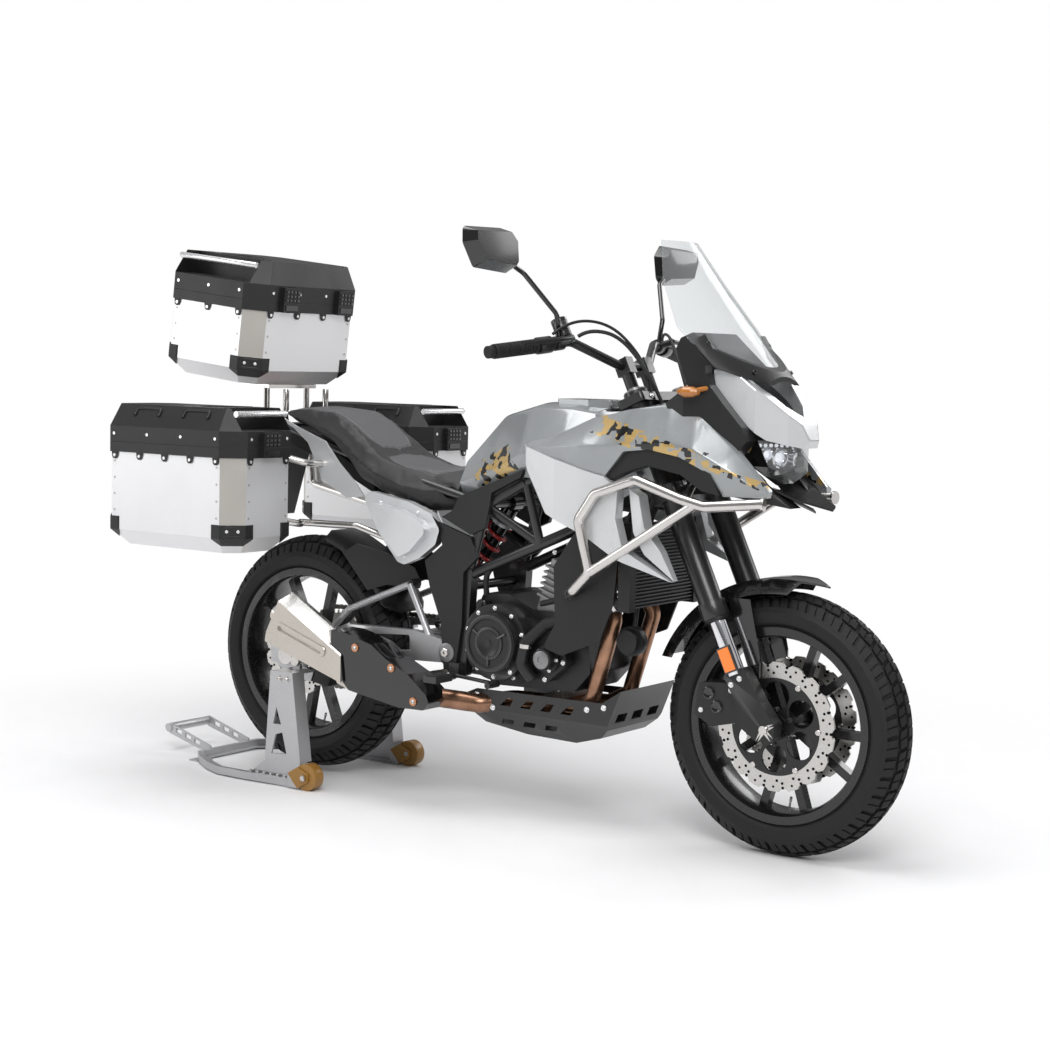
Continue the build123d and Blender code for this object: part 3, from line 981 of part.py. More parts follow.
def case_body(length, width, height):
    """An open aluminium box: chamfered corners and base, with a thick rim for the lid."""
    outline = make_face(Polyline(*case_outline(length, width, CASE_CHAMFER), close=True))
    base = make_face(Polyline(*case_outline(length - 2 * BASE_CHAMFER, width - 2 * BASE_CHAMFER,
                                            CASE_CHAMFER - 14), close=True))
    inner = make_face(Polyline(*case_outline(length - 2 * CASE_WALL, width - 2 * CASE_WALL,
                                             CASE_CHAMFER - 2), close=True))
    inner_base = make_face(Polyline(*case_outline(length - 2 * BASE_CHAMFER, width - 2 * BASE_CHAMFER,
                                                  CASE_CHAMFER - 14), close=True))
    shell = loft([base, Pos(0, 0, BASE_CHAMFER) * outline], ruled=True) + extrude(
        Pos(0, 0, BASE_CHAMFER) * outline, height - BASE_CHAMFER)
    shell = shell + corner_guards(length, width)
    room = loft([Pos(0, 0, CASE_WALL) * inner_base, Pos(0, 0, BASE_CHAMFER + CASE_WALL) * inner], ruled=True)
    room = room + extrude(Pos(0, 0, BASE_CHAMFER + CASE_WALL) * inner, height)
    rim_face = make_face(Polyline(*case_outline(length + 2 * RIM_OUT, width + 2 * RIM_OUT, CASE_CHAMFER + 4),
                                  close=True))
    band = extrude(Pos(0, 0, height - RIM_H) * rim_face, RIM_H)
    return shell + band - room


def case_lid(length, width, height, pocket_end):
    """A dished lid: upright rim, sloping shoulders, flat top, and a carrying bar in an end pocket."""
    rim_face = make_face(Polyline(*case_outline(length + 2 * RIM_OUT, width + 2 * RIM_OUT, CASE_CHAMFER + 4),
                                  close=True))
    top_face = make_face(Polyline(*case_outline(length - 24, width - 52, CASE_CHAMFER - 8), close=True))
    rim_h = 0.42 * height
    outer = extrude(rim_face, rim_h) + loft([Pos(0, 0, rim_h) * rim_face, Pos(0, 0, height) * top_face],
                                            ruled=True)
    inner_face = make_face(Polyline(*case_outline(length - 2 * CASE_WALL, width - 2 * CASE_WALL,
                                                  CASE_CHAMFER - 2),
                                    close=True))
    inner_top = make_face(Polyline(*case_outline(length - 50, width - 80, CASE_CHAMFER - 12), close=True))
    room = extrude(inner_face, rim_h - 4) + loft([Pos(0, 0, rim_h - 4) * inner_face,
                                                  Pos(0, 0, height - 6) * inner_top], ruled=True)
    # The pocket lies along one end: at +X, or at -Y on a case that sits across the machine.
    along, across = (length, width) if pocket_end == "front" else (width, length)
    half = across / 2 - POCKET_CHEEK
    pocket = Pos(along / 2 - POCKET_L, -half, rim_h) * Box(2 * POCKET_L, 2 * half, height,
                                                           align=(Align.MIN,) * 3)
    floor = Pos(along / 2 - POCKET_L - 4, -half - 4, rim_h - 4) * Box(
        2 * POCKET_L, 2 * half + 8, height, align=(Align.MIN,) * 3)
    bar = Pos(along / 2 - 24, 0, height - BAR_DROP) * Rot(90, 0, 0) * Cylinder(CARRY_R, 2 * half + 4)
    groove = Pos(-along * 0.30, 0, height) * Box(4, across, 5)
    turn = Rot(0, 0, 0) if pocket_end == "front" else Rot(0, 0, -90)
    return outer - (room - turn * floor) - turn * pocket - turn * groove + turn * bar


def latches(length, width, z_low, z_high, places):
    """Latch blocks on the front face, from one height to another."""
    x = length / 2 + RIM_OUT
    return [Pos(x - 2, y - LATCH_W / 2, z_low) * Box(LATCH_T, LATCH_W, z_high - z_low, align=(Align.MIN,) * 3)
            for y in places]


HINGE_R, PIN_R = 7.0, 3.0
KNUCKLE = 40.0


def hinge(height, length):
    """Pin and knuckles behind the case: two knuckles on the box, one between them on the lid."""
    x = -length / 2 - RIM_OUT - HINGE_R - 0.6
    z = height
    box_side = rod((x, -KNUCKLE * 1.5, z), (x, KNUCKLE * 1.5, z), PIN_R)
    for side in (-1, 1):
        y0, y1 = sorted((side * (KNUCKLE / 2 + SEAM), side * KNUCKLE * 1.5))
        box_side = box_side + rod((x, y0, z), (x, y1, z), HINGE_R)
        box_side = box_side + brick((x, y0, z - RIM_H), (x + HINGE_R + 0.6, y1, z - HINGE_R / 2))
    lid_side = rod((x, -KNUCKLE / 2, z), (x, KNUCKLE / 2, z), HINGE_R)
    lid_side = lid_side + brick((x, -KNUCKLE / 2, z + SEAM), (x + HINGE_R + 0.6, KNUCKLE / 2, z + HINGE_R))
    lid_side = lid_side - rod((x, -KNUCKLE, z), (x, KNUCKLE, z), PIN_R + RUNNING)
    return box_side, lid_side


def luggage_case(place, length, width, body_h, lid_h, pocket_end, latch_places):
    """The box and its lid, hinged along the rear edge and latched at the front."""
    box_hinge, lid_hinge = hinge(body_h, length)
    keepers = latches(length, width, body_h - RIM_H, body_h, latch_places)
    levers = latches(length, width, body_h + SEAM, body_h + SEAM + 0.38 * lid_h, latch_places)
    body = fuse(case_body(length, width, body_h), box_hinge, *keepers)
    lid = fuse(Pos(0, 0, body_h + SEAM) * case_lid(length, width, lid_h, pocket_end), lid_hinge, *levers)
    return place * body, place * lid


PAN_PLACE = Pos(PAN_FRONT_X - PAN_L / 2, PAN_MID_Y, PAN_BOTTOM)
pieces["top_case_box"], pieces["top_case_lid"] = luggage_case(
    TOP_CASE.location, TOP_L, TOP_W, TOP_BODY_H, TOP_LID_H, "side", (-95, 125))
pannier_box, pannier_lid = luggage_case(PAN_PLACE, PAN_L, PAN_D, PAN_BODY_H, PAN_LID_H, "front", (0,))
pieces["pannier_box_left"], pieces["pannier_box_right"] = both(pannier_box)
pieces["pannier_lid_left"], pieces["pannier_lid_right"] = both(pannier_lid)
pieces["luggage_rack"] = [top_rack] + both(largest(cut(rack_left, pieces["pannier_box_left"])))

# ---------------------------------------------------------------- rear shock absorber
SHOCK_LOW, SHOCK_HIGH = (428, 0, 447), (640, 0,
                                        770)    # its eyes on the swingarm's bridge and the frame's cross bar
COIL_R, COIL_COUNT = 32.0, 8
COILS_FROM, COILS_TO = 0.22, 0.86                       # along the line between the eyes


def shock_point(share):
    return tuple(low + share * (high - low) for low, high in zip(SHOCK_LOW, SHOCK_HIGH))


shock = fuse(disc(Vector(*SHOCK_LOW), 20, -18, 18), disc(Vector(*SHOCK_HIGH), 20, -18, 18),
             rod(SHOCK_LOW, SHOCK_HIGH, 9), rod(shock_point(COILS_FROM - 0.05), shock_point(COILS_TO), 24))
coil_step = (COILS_TO - COILS_FROM) / (COIL_COUNT - 0.5)
for coil in range(COIL_COUNT):
    coil_at = COILS_FROM + coil * coil_step
    shock = shock + rod(shock_point(coil_at), shock_point(coil_at + coil_step / 2), COIL_R)
pieces["rear_shock"] = largest(cut(shock, arm_alone, pieces["frame_main"], tank_body, pieces["seat"],
                                   *pieces["engine_block"]))

# ---------------------------------------------------------------- foot rests and side stand
peg_left = fuse(brick((560, 130, 336), (590, 150, 372)), rod((575, 148, 340), (575, 190, 338), 9),
                brick((558, 186, 334), (598, 252, 350)))
pedal_left = rod((575, 148, 342), (712, 158, 336), 5) + rod((712, 152, 336), (712, 196, 336), 8)
pegs = [largest(cut(solid, pieces["exhaust_headers"], *pieces["side_covers"], pieces["frame_main"],
                    *pieces["engine_block"])) for solid in both(peg_left + pedal_left)]
STAND_PIVOT = Vector(610, 0, 300)
STAND_PIVOT_Y = 128.0
side_leg = rod((STAND_PIVOT.X, STAND_PIVOT_Y + 14, STAND_PIVOT.Z),
               (STAND_PIVOT.X - 250, STAND_PIVOT_Y + 34, 300), 10)
side_leg = side_leg + disc(STAND_PIVOT, 18, STAND_PIVOT_Y + 2, STAND_PIVOT_Y + 26)
side_leg = side_leg + (Pos(STAND_PIVOT.X - 256, STAND_PIVOT_Y + 36, 304) * Box(54, 44, 8))
side_leg = side_leg - disc(STAND_PIVOT, 6 + RUNNING, 0, 200)
stand_lug = disc(STAND_PIVOT, 18, STAND_PIVOT_Y - 14, STAND_PIVOT_Y + 2 - SEAM) + disc(
    STAND_PIVOT, 6, STAND_PIVOT_Y - 14, STAND_PIVOT_Y + 30) + disc(STAND_PIVOT, 11, STAND_PIVOT_Y + 26 + SEAM,
                                                                  STAND_PIVOT_Y + 30)
stand_lug = stand_lug + brick((594, ENGINE_HALF, 300), (626, STAND_PIVOT_Y - 4, 372))
pieces["side_stand"] = side_leg
stand_lug = largest(cut(stand_lug, *pieces["engine_block"], chain_way, pieces["skid_plate"]))
pieces["frame_main"] = [pieces["frame_main"] + stand_lug] + pegs

# ---------------------------------------------------------------- paddock stand
leg_front = [(-60, 4), (-50, 18), (4, 60), (20, 300), (96, 300), (128, 66), (134, 20), (134, 4)]
leg_slot_low = [(26, 80), (40, 132), (64, 140), (80, 84)]
leg_slot_high = [(32, 160), (42, 206), (60, 160)]


def stand_leg():
    """One leg: a plate with two windows, its flange, the cradle under the spool and the roller."""
    plate = side_plate(leg_front, STAND_HALF_W - 3, STAND_HALF_W + 3)
    plate = plate - side_plate(leg_slot_low, 150, 260) - side_plate(leg_slot_high, 150, 260)
    flange = side_plate([(96, 300), (128, 66), (122, 66), (90, 300)], STAND_HALF_W - 42, STAND_HALF_W - 3)
    cradle = brick((24, ARM_OUT + 4, 294), (96, STAND_HALF_W - 3, 300))
    hook = brick((40, 140, 300), (64, 150, 314))
    foot = brick((-60, STAND_HALF_W - 30, 0), (134, STAND_HALF_W + 12, 4))
    fork_plate_in = side_plate([(100, 4), (134, 4), (170, 24), (170, 46), (134, 60), (100, 40)],
                               STAND_HALF_W - 21, STAND_HALF_W - 17)
    fork_plate_out = side_plate([(100, 4), (134, 4), (170, 24), (170, 46), (134, 60), (100, 40)],
                                STAND_HALF_W + 17, STAND_HALF_W + 21)
    axle = rod((158, STAND_HALF_W - 24, 35), (158, STAND_HALF_W + 24, 35), 6)
    roller = disc(Vector(158, 0, 35), 35, STAND_HALF_W - 16, STAND_HALF_W + 16)
    beam = flat_plate([(-56, STAND_HALF_W - 26), (120, STAND_HALF_W - 20), (120, STAND_HALF_W + 14),
                       (-60, STAND_HALF_W + 26), (-150, STAND_HALF_W + 24), (-215, STAND_HALF_W - 4),
                       (-290, 160),
                       (-334, 120), (-334, 0), (-306, 0), (-306, 92), (-268, 132), (-190, STAND_HALF_W - 42),
                       (-130, STAND_HALF_W - 20)], 4, 24)
    beam = beam - flat_plate([(-300, 0), (-300, 90), (-262, 126), (-186, STAND_HALF_W - 46),
                              (-120, STAND_HALF_W - 26),
                              (100, STAND_HALF_W - 26), (100, STAND_HALF_W + 8), (-140, STAND_HALF_W + 12),
                              (-205, STAND_HALF_W - 14), (-280, 146), (-320, 112), (-320, 0)], 8, 30)
    pad = brick((-338, 120, 0), (-306, 150, 4))
    bar = side_plate([(-326, 8), (-326, 32), (-484, 78), (-500, 64), (-484, 48)], 74, 79)
    for window in range(3):
        x = -366 - 36 * window
        z = 22 + 0.30 * (-336 - x)
        bar = bar - side_plate([(x, z - 6), (x, z + 7), (x - 22, z + 14), (x - 22, z + 1)], 60, 90)
    return fuse(plate, flange, cradle, hook, foot, axle, roller, fork_plate_in, fork_plate_out, beam, pad,
                bar)


left_leg = stand_leg()
handle_bar = rod((STAND_REAR_X + 12, -82, 64), (STAND_REAR_X + 12, 82, 64), 12)
pieces["paddock_stand"] = cut(fuse(left_leg, right(left_leg), handle_bar), pieces["rear_axle"], arm_alone)

# ---------------------------------------------------------------- writing the pieces
os.makedirs("parts", exist_ok=True)
for name, solids in pieces.items():
    whole = Compound(children=list(solids)) if isinstance(solids, list) else solids
    export_step(Pos(-ORIGIN_X, 0, 0) * whole, f"parts/{name}.step")
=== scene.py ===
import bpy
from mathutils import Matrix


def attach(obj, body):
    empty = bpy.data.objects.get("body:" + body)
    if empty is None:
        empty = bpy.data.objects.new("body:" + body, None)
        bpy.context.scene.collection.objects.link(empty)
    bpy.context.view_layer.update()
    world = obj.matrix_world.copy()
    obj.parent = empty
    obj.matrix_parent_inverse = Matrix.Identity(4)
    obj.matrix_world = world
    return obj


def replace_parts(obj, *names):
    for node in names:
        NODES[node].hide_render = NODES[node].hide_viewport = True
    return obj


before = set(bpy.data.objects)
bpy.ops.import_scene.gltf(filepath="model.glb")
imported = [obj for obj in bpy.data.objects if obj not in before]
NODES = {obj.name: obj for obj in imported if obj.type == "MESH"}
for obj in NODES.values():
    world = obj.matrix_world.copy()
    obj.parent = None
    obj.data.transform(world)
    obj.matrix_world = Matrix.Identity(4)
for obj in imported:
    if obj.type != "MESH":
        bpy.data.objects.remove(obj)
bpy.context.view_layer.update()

import math

import bmesh
import bpy
from mathutils import Matrix, Vector
from mathutils.bvhtree import BVHTree

# ---------------------------------------------------------------- tyres
# Tubeless dual-purpose tyres: black rubber over a cord carcass, moulded with rows of staggered tread blocks
# above plain side walls. Each is pressed over its rim's beads and held there by its air.
REAR_AXLE_AHEAD = 619.5                # mm from the rear axle forward to the frame's own zero
FRONT_HUB, REAR_HUB = Vector((1431, 0, 308)), Vector((0, 0, 329))
RIM_LIP_R, BEAD_SEAT_R = 230.0, 217.0
SEAM_GAP = 0.00003                     # metres within which neighbouring sectors are joined
TYRES = {"front": (FRONT_HUB, 308.0, 114.0, 98.0, 38, 7.0),     # hub, radius, width, rim, pitches, groove
         "rear": (REAR_HUB, 315.0, 150.0, 122.0, 36, 7.5)}


def place(at):
    """A place in mm, measured from the floor under the rear axle, in the frame's metres."""
    return Vector(((at[0] - REAR_AXLE_AHEAD) / 1000, at[1] / 1000, at[2] / 1000))


BROAD_GRAIN, BROAD_SHARE = 9, 0.4      # the slow change in a finish, and its share beside the fine grain
COAT_ROUGHNESS, RELIEF_HEIGHT = 0.06, 0.0006
# How pointy an edge must be for its painted highlight to start and to end, and the highlight's most share
HIGHLIGHT_FROM, HIGHLIGHT_TO, HIGHLIGHT_MOST = 0.53, 0.64, 0.55


def surface(name, color, rough=0.5, metal=0.0, coat=0.0, vary=0.08, grain=300.0, bump=0.1,
            stretch=(1, 1, 1), edge_highlight=None, glow=0.0, shine=0.5):
    """A finish with fine and broad change in its colour and roughness, small relief, and a painted highlight
    on sharp edges.
    """
    finish_of = bpy.data.materials.new(name)
    finish_of.use_nodes = True
    tree = finish_of.node_tree
    link = tree.links.new
    skin = tree.nodes["Principled BSDF"]
    skin.inputs["Metallic"].default_value = metal
    skin.inputs["Coat Weight"].default_value = coat
    skin.inputs["Coat Roughness"].default_value = COAT_ROUGHNESS
    skin.inputs["Specular IOR Level"].default_value = shine
    if glow:
        skin.inputs["Emission Color"].default_value = (*color, 1)
        skin.inputs["Emission Strength"].default_value = glow
    coords = put(tree, "ShaderNodeTexCoord", {})
    drawn = put(tree, "ShaderNodeMapping", {"Vector": coords["Object"], "Scale": stretch})
    fine = put(tree, "ShaderNodeTexNoise", {"Vector": drawn["Vector"], "Scale": grain, "Detail": 4})["Fac"]
    broad = put(tree, "ShaderNodeTexNoise", {"Vector": coords["Object"], "Scale": BROAD_GRAIN, "Detail": 3})
    both = put(tree, "ShaderNodeMix", {"Factor": BROAD_SHARE, "A": fine, "B": broad["Fac"]})["Result"]

    def spread(low, high, source=both, start=0.3, end=0.7):
        """Maps a pattern's strength to a range."""
        return put(tree, "ShaderNodeMapRange", {"Value": source, "From Min": start, "From Max": end,
                                                "To Min": low, "To Max": high})["Result"]

    shade = put(tree, "ShaderNodeVectorMath", {0: color, "Scale": spread(1 - vary, 1 + vary)},
                operation="SCALE")["Vector"]
    # Painted highlight: sharp edges, found by pointiness, are lightened towards the given grey.
    if edge_highlight:
        edge = put(tree, "ShaderNodeNewGeometry", {})["Pointiness"]
        bare = spread(0.0, HIGHLIGHT_MOST, edge, HIGHLIGHT_FROM, HIGHLIGHT_TO)
        shade = put(tree, "ShaderNodeMix", {"Factor": bare, "A": shade, "B": (*edge_highlight, 1)},
                    data_type="RGBA")["Result"]
    link(shade, skin.inputs["Base Color"])
    link(spread(max(0.0, rough * 0.8), min(1.0, rough * 1.25)), skin.inputs["Roughness"])
    if bump:
        relief = put(tree, "ShaderNodeBump", {"Strength": bump, "Distance": RELIEF_HEIGHT, "Height": fine})
        link(relief["Normal"], skin.inputs["Normal"])
    return finish_of


def in_scene(name, data):
    """A new object in the scene, to hold a mesh, a curve, a light or a camera."""
    made = bpy.data.objects.new(name, data)
    bpy.context.scene.collection.objects.link(made)
    return made


def settle(name, mesh, body, angle=38):
    """Turns a closed mesh's faces outwards, shades it, and rides it on a body as a piece."""
    form = bmesh.new()
    form.from_mesh(mesh)
    bmesh.ops.recalc_face_normals(form, faces=form.faces)
    form.to_mesh(mesh)
    form.free()
    mesh.shade_smooth()
    mesh.set_sharp_from_angle(angle=math.radians(angle))
    piece = in_scene(name, mesh)
    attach(piece, body)
    return piece


def new_tree(name, **sizes):
    """A Geometry Nodes tree that takes a mesh and its named sizes, and gives a mesh."""
    tree = bpy.data.node_groups.new(name, "GeometryNodeTree")
    tree.interface.new_socket("Geometry", in_out="INPUT", socket_type="NodeSocketGeometry")
    for label, kind in sizes.items():
        tree.interface.new_socket(label, in_out="INPUT", socket_type="NodeSocket" + kind)
    tree.interface.new_socket("Geometry", in_out="OUTPUT", socket_type="NodeSocketGeometry")
    given, result = tree.nodes.new("NodeGroupInput"), tree.nodes.new("NodeGroupOutput")
    return tree, given.outputs, result.inputs["Geometry"]


def put(tree, kind, inputs, **options):
    """Adds a node with its options, and wires or sets its inputs by label or by number."""
    node = tree.nodes.new(kind)
    for label, value in options.items():
        setattr(node, label, value)
    for label, value in inputs.items():
        if isinstance(value, bpy.types.NodeSocket):
            tree.links.new(value, node.inputs[label])
        else:
            node.inputs[label].default_value = value
    return node.outputs


def as_made(piece):
    """The plain mesh that a piece's modifiers make."""
    graph = bpy.context.evaluated_depsgraph_get()
    return bpy.data.meshes.new_from_object(piece.evaluated_get(graph))


def grow(tree, mesh, **sizes):
    """Runs a tree on a mesh with these sizes, and returns the plain mesh that it makes."""
    carrier = in_scene(mesh.name, mesh)
    mod = carrier.modifiers.new(tree.name, "NODES")
    mod.node_group = tree
    for item in tree.interface.items_tree:
        if item.in_out == "INPUT" and item.name in sizes:
            mod[item.identifier] = sizes[item.name]
    made = as_made(carrier)
    bpy.data.objects.remove(carrier)
    return made


def end_tree(tree, shapes, given, result):
    """Makes a tree's copies real, gives them their finish and sends them out."""
    plain = put(tree, "GeometryNodeRealizeInstances", {"Geometry": shapes})
    done = put(tree, "GeometryNodeSetMaterial", {"Geometry": plain["Geometry"], "Material": given["Finish"]})
    tree.links.new(done["Geometry"], result)
    return tree


def repeat_round_axle():
    """Copies one sector of a wheel round its axle, and joins the copies into a closed ring."""
    tree, given, result = new_tree("round_axle", Count="Int", Axle="Vector", Finish="Material")
    spots = put(tree, "GeometryNodeMeshLine", {"Count": given["Count"], "Offset": (0, 0, 0)})
    step = put(tree, "ShaderNodeMath", {0: 2 * math.pi, 1: given["Count"]}, operation="DIVIDE")
    order = put(tree, "GeometryNodeInputIndex", {})
    turn = put(tree, "ShaderNodeMath", {0: order["Index"], 1: step["Value"]}, operation="MULTIPLY")
    facing = put(tree, "FunctionNodeAxisAngleToRotation", {"Axis": (0, -1, 0), "Angle": turn["Value"]})
    copies = put(tree, "GeometryNodeInstanceOnPoints",
                 {"Points": spots["Mesh"], "Instance": given["Geometry"], "Rotation": facing["Rotation"]})
    moved = put(tree, "GeometryNodeTransform",
                {"Geometry": copies["Instances"], "Translation": given["Axle"]})
    plain = put(tree, "GeometryNodeRealizeInstances", {"Geometry": moved["Geometry"]})
    joined = put(tree, "GeometryNodeMergeByDistance", {"Geometry": plain["Geometry"], "Distance": SEAM_GAP})
    done = put(tree, "GeometryNodeSetMaterial", {"Geometry": joined["Geometry"], "Material": given["Finish"]})
    tree.links.new(done["Geometry"], result)
    return tree


def circle_through(a, b, c):
    """Centre of the circle through three places of a section."""
    (ax, ay), (bx, by), (cx, cy) = a, b, c
    d = 2 * (ax * (by - cy) + bx * (cy - ay) + cx * (ay - by))
    a2, b2, c2 = ax * ax + ay * ay, bx * bx + by * by, cx * cx + cy * cy
    return ((a2 * (by - cy) + b2 * (cy - ay) + c2 * (ay - by)) / d,
            (a2 * (cx - bx) + b2 * (ax - cx) + c2 * (bx - ax)) / d)


def tread_pitch(radius, width, rim_width, pitches, groove):
    """One pitch of the tread with its side walls, in mm about the axle: blocks parted by zigzag grooves."""
    crown, shoulder, bead = 0.4 * width, radius - 0.26 * width, rim_width / 2 - 6
    top_r = (crown ** 2 + (0.26 * width) ** 2) / (0.52 * width)
    reach = math.asin(crown / top_r)
    wall_at = circle_through((RIM_LIP_R, bead), (RIM_LIP_R + 20, width / 2), (shoulder, crown))
    wall_r = math.hypot(RIM_LIP_R - wall_at[0], bead - wall_at[1])
    wall_top = math.atan2(crown - wall_at[1], shoulder - wall_at[0])
    wall_foot = math.atan2(bead - wall_at[1], RIM_LIP_R - wall_at[0])

    def skin(q, sink):
        """Radius and side at q: 0 the crown's middle, 1 its edge, 2 the bead, sunk below the surface."""
        side, q = (-1 if q < 0 else 1), abs(q)
        if q <= 1:
            a = q * reach
            return radius - top_r + (top_r - sink) * math.cos(a), side * (top_r - sink) * math.sin(a)
        a = wall_top + (q - 1) * (wall_foot - wall_top)
        return wall_at[0] + (wall_r - sink) * math.cos(a), side * (wall_at[1] + (wall_r - sink) * math.sin(a))

    # Each row: where it lies, whether it is a groove, whether cross grooves cut it, and how far it lags.
    half_rows = [(0.0, 0, 1, 0.0), (0.06, 0, 1, 0.02), (0.125, 0, 1, 0.05), (0.14, 1, 1, 0.06),
                 (0.235, 1, 1, 0.40), (0.25, 0, 1, 0.41), (0.36, 0, 1, 0.46), (0.46, 0, 1, 0.52),
                 (0.545, 0, 1, 0.56), (0.56, 1, 1, 0.57), (0.655, 1, 1, 0.88), (0.67, 0, 1, 0.89),
                 (0.78, 0, 1, 0.92), (0.89, 0, 1, 0.95), (1.0, 0, 1, 1.0), (1.07, 0, 1, 1.02),
                 (1.10, 0, 0, 1.03), (1.16, 0.1, 0, 1.03), (1.3, 0.1, 0, 1.03), (1.32, 0, 0, 1.03),
                 (1.36, 0, 0, 1.03), (1.38, 0.12, 0, 1.03), (1.55, 0.12, 0, 1.03), (1.75, 0.1, 0, 1.03),
                 (1.78, 0, 0, 1.03), (1.88, 0, 0, 1.03), (2.0, 0.1, 0, 1.03)]
    rows = [(-q, sunk, cut, -lag) for q, sunk, cut, lag in half_rows[:0:-1]] + half_rows
    steps = [(0.0, 0), (0.02, 1), (0.19, 1), (0.21, 0), (0.40, 0), (0.58, 0), (0.60, 0.5), (0.65, 0.5),
             (0.67, 0), (0.84, 0), (1.0, 0)]      # share of the pitch, and depth of a cross groove there
    points = []
    for q, sunk, cut, lag in rows:
        zig = 0.022 if 0.1 < abs(q) < 0.7 else 0.0
        for share, depth in steps:
            wave = zig * (abs(4 * ((share + 0.3) % 1) - 2) - 1) * (1 if q > 0 else -1)
            r, y = skin(q + wave, groove * max(sunk, depth * cut) + 0.15)
            angle = 2 * math.pi * (share + lag) / pitches
            points.append(Vector((r * math.cos(angle), y, r * math.sin(angle))))
    for side in (1, -1):               # the inner skin, hidden over the rim
        for share, depth in steps:
            angle = 2 * math.pi * (share + 1.03 * side) / pitches
            points.append(Vector((BEAD_SEAT_R * math.cos(angle), side * bead, BEAD_SEAT_R * math.sin(angle))))
    n, count = len(steps), len(rows) + 2
    faces = [(a * n + k, a * n + k + 1, (a + 1) % count * n + k + 1, (a + 1) % count * n + k)
             for a in range(count) for k in range(n - 1)]
    mesh = bpy.data.meshes.new("tread_pitch")
    mesh.from_pydata([p / 1000 for p in points], [], faces)
    return mesh


tyre_rubber = surface("tyre_rubber", (0.010, 0.010, 0.0105), 0.62, vary=0.3, grain=500, bump=0.3, shine=0.35)
round_axle = repeat_round_axle()
for end, (hub, radius, width, rim_width, pitches, groove) in TYRES.items():
    sector = tread_pitch(radius, width, rim_width, pitches, groove)
    tread = grow(round_axle, sector, Count=pitches, Axle=place(hub), Finish=tyre_rubber)
    NODES[end + "_tyre"].data.materials.clear()
    NODES[end + "_tyre"].data.materials.append(tyre_rubber)
    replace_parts(settle(end + "_tread", tread, end + "_wheel", 30), end + "_tyre")

# ---------------------------------------------------------------- rims
# Ten-spoke wheels cast in aluminium, turned true at the bead seats and powder-coated gloss black. A steel
# stem for the air valve stands through each well.
VALVE_STEM = ((4.5, 0), (4.5, 4), (2.6, 6), (2.6, 26), (3.4, 27), (3.4, 35), (2.2, 36.5))   # radius, height
rim_black = surface("rim_black", (0.007, 0.007, 0.0075), 0.28, coat=0.35, edge_highlight=(0.06, 0.06, 0.06), bump=0.05)


WELD_GAP, FLAT_ANGLE, EDGE_ANGLE = 0.00002, math.radians(0.6), math.radians(32)


def dress(name, finish_of, edge=1.2):
    """Gives a CAD piece its finish, joins its flat faces, and rounds its edges by so many mm."""
    node = NODES[name]
    node.data.materials.clear()
    node.data.materials.append(finish_of)
    weld = node.modifiers.new("weld", "WELD")
    weld.merge_threshold = WELD_GAP
    flat = node.modifiers.new("flat", "DECIMATE")
    flat.decimate_type = "DISSOLVE"
    flat.angle_limit = FLAT_ANGLE
    flat.delimit = {"MATERIAL"}
    bevel = node.modifiers.new("bevel", "BEVEL")
    bevel.width = edge / 1000
    bevel.segments = 2
    bevel.limit_method = "ANGLE"
    bevel.angle_limit = EDGE_ANGLE
    bevel.use_clamp_overlap = True
    for mod in node.modifiers:         # left asleep while other pieces are made, to save time
        mod.show_viewport = False


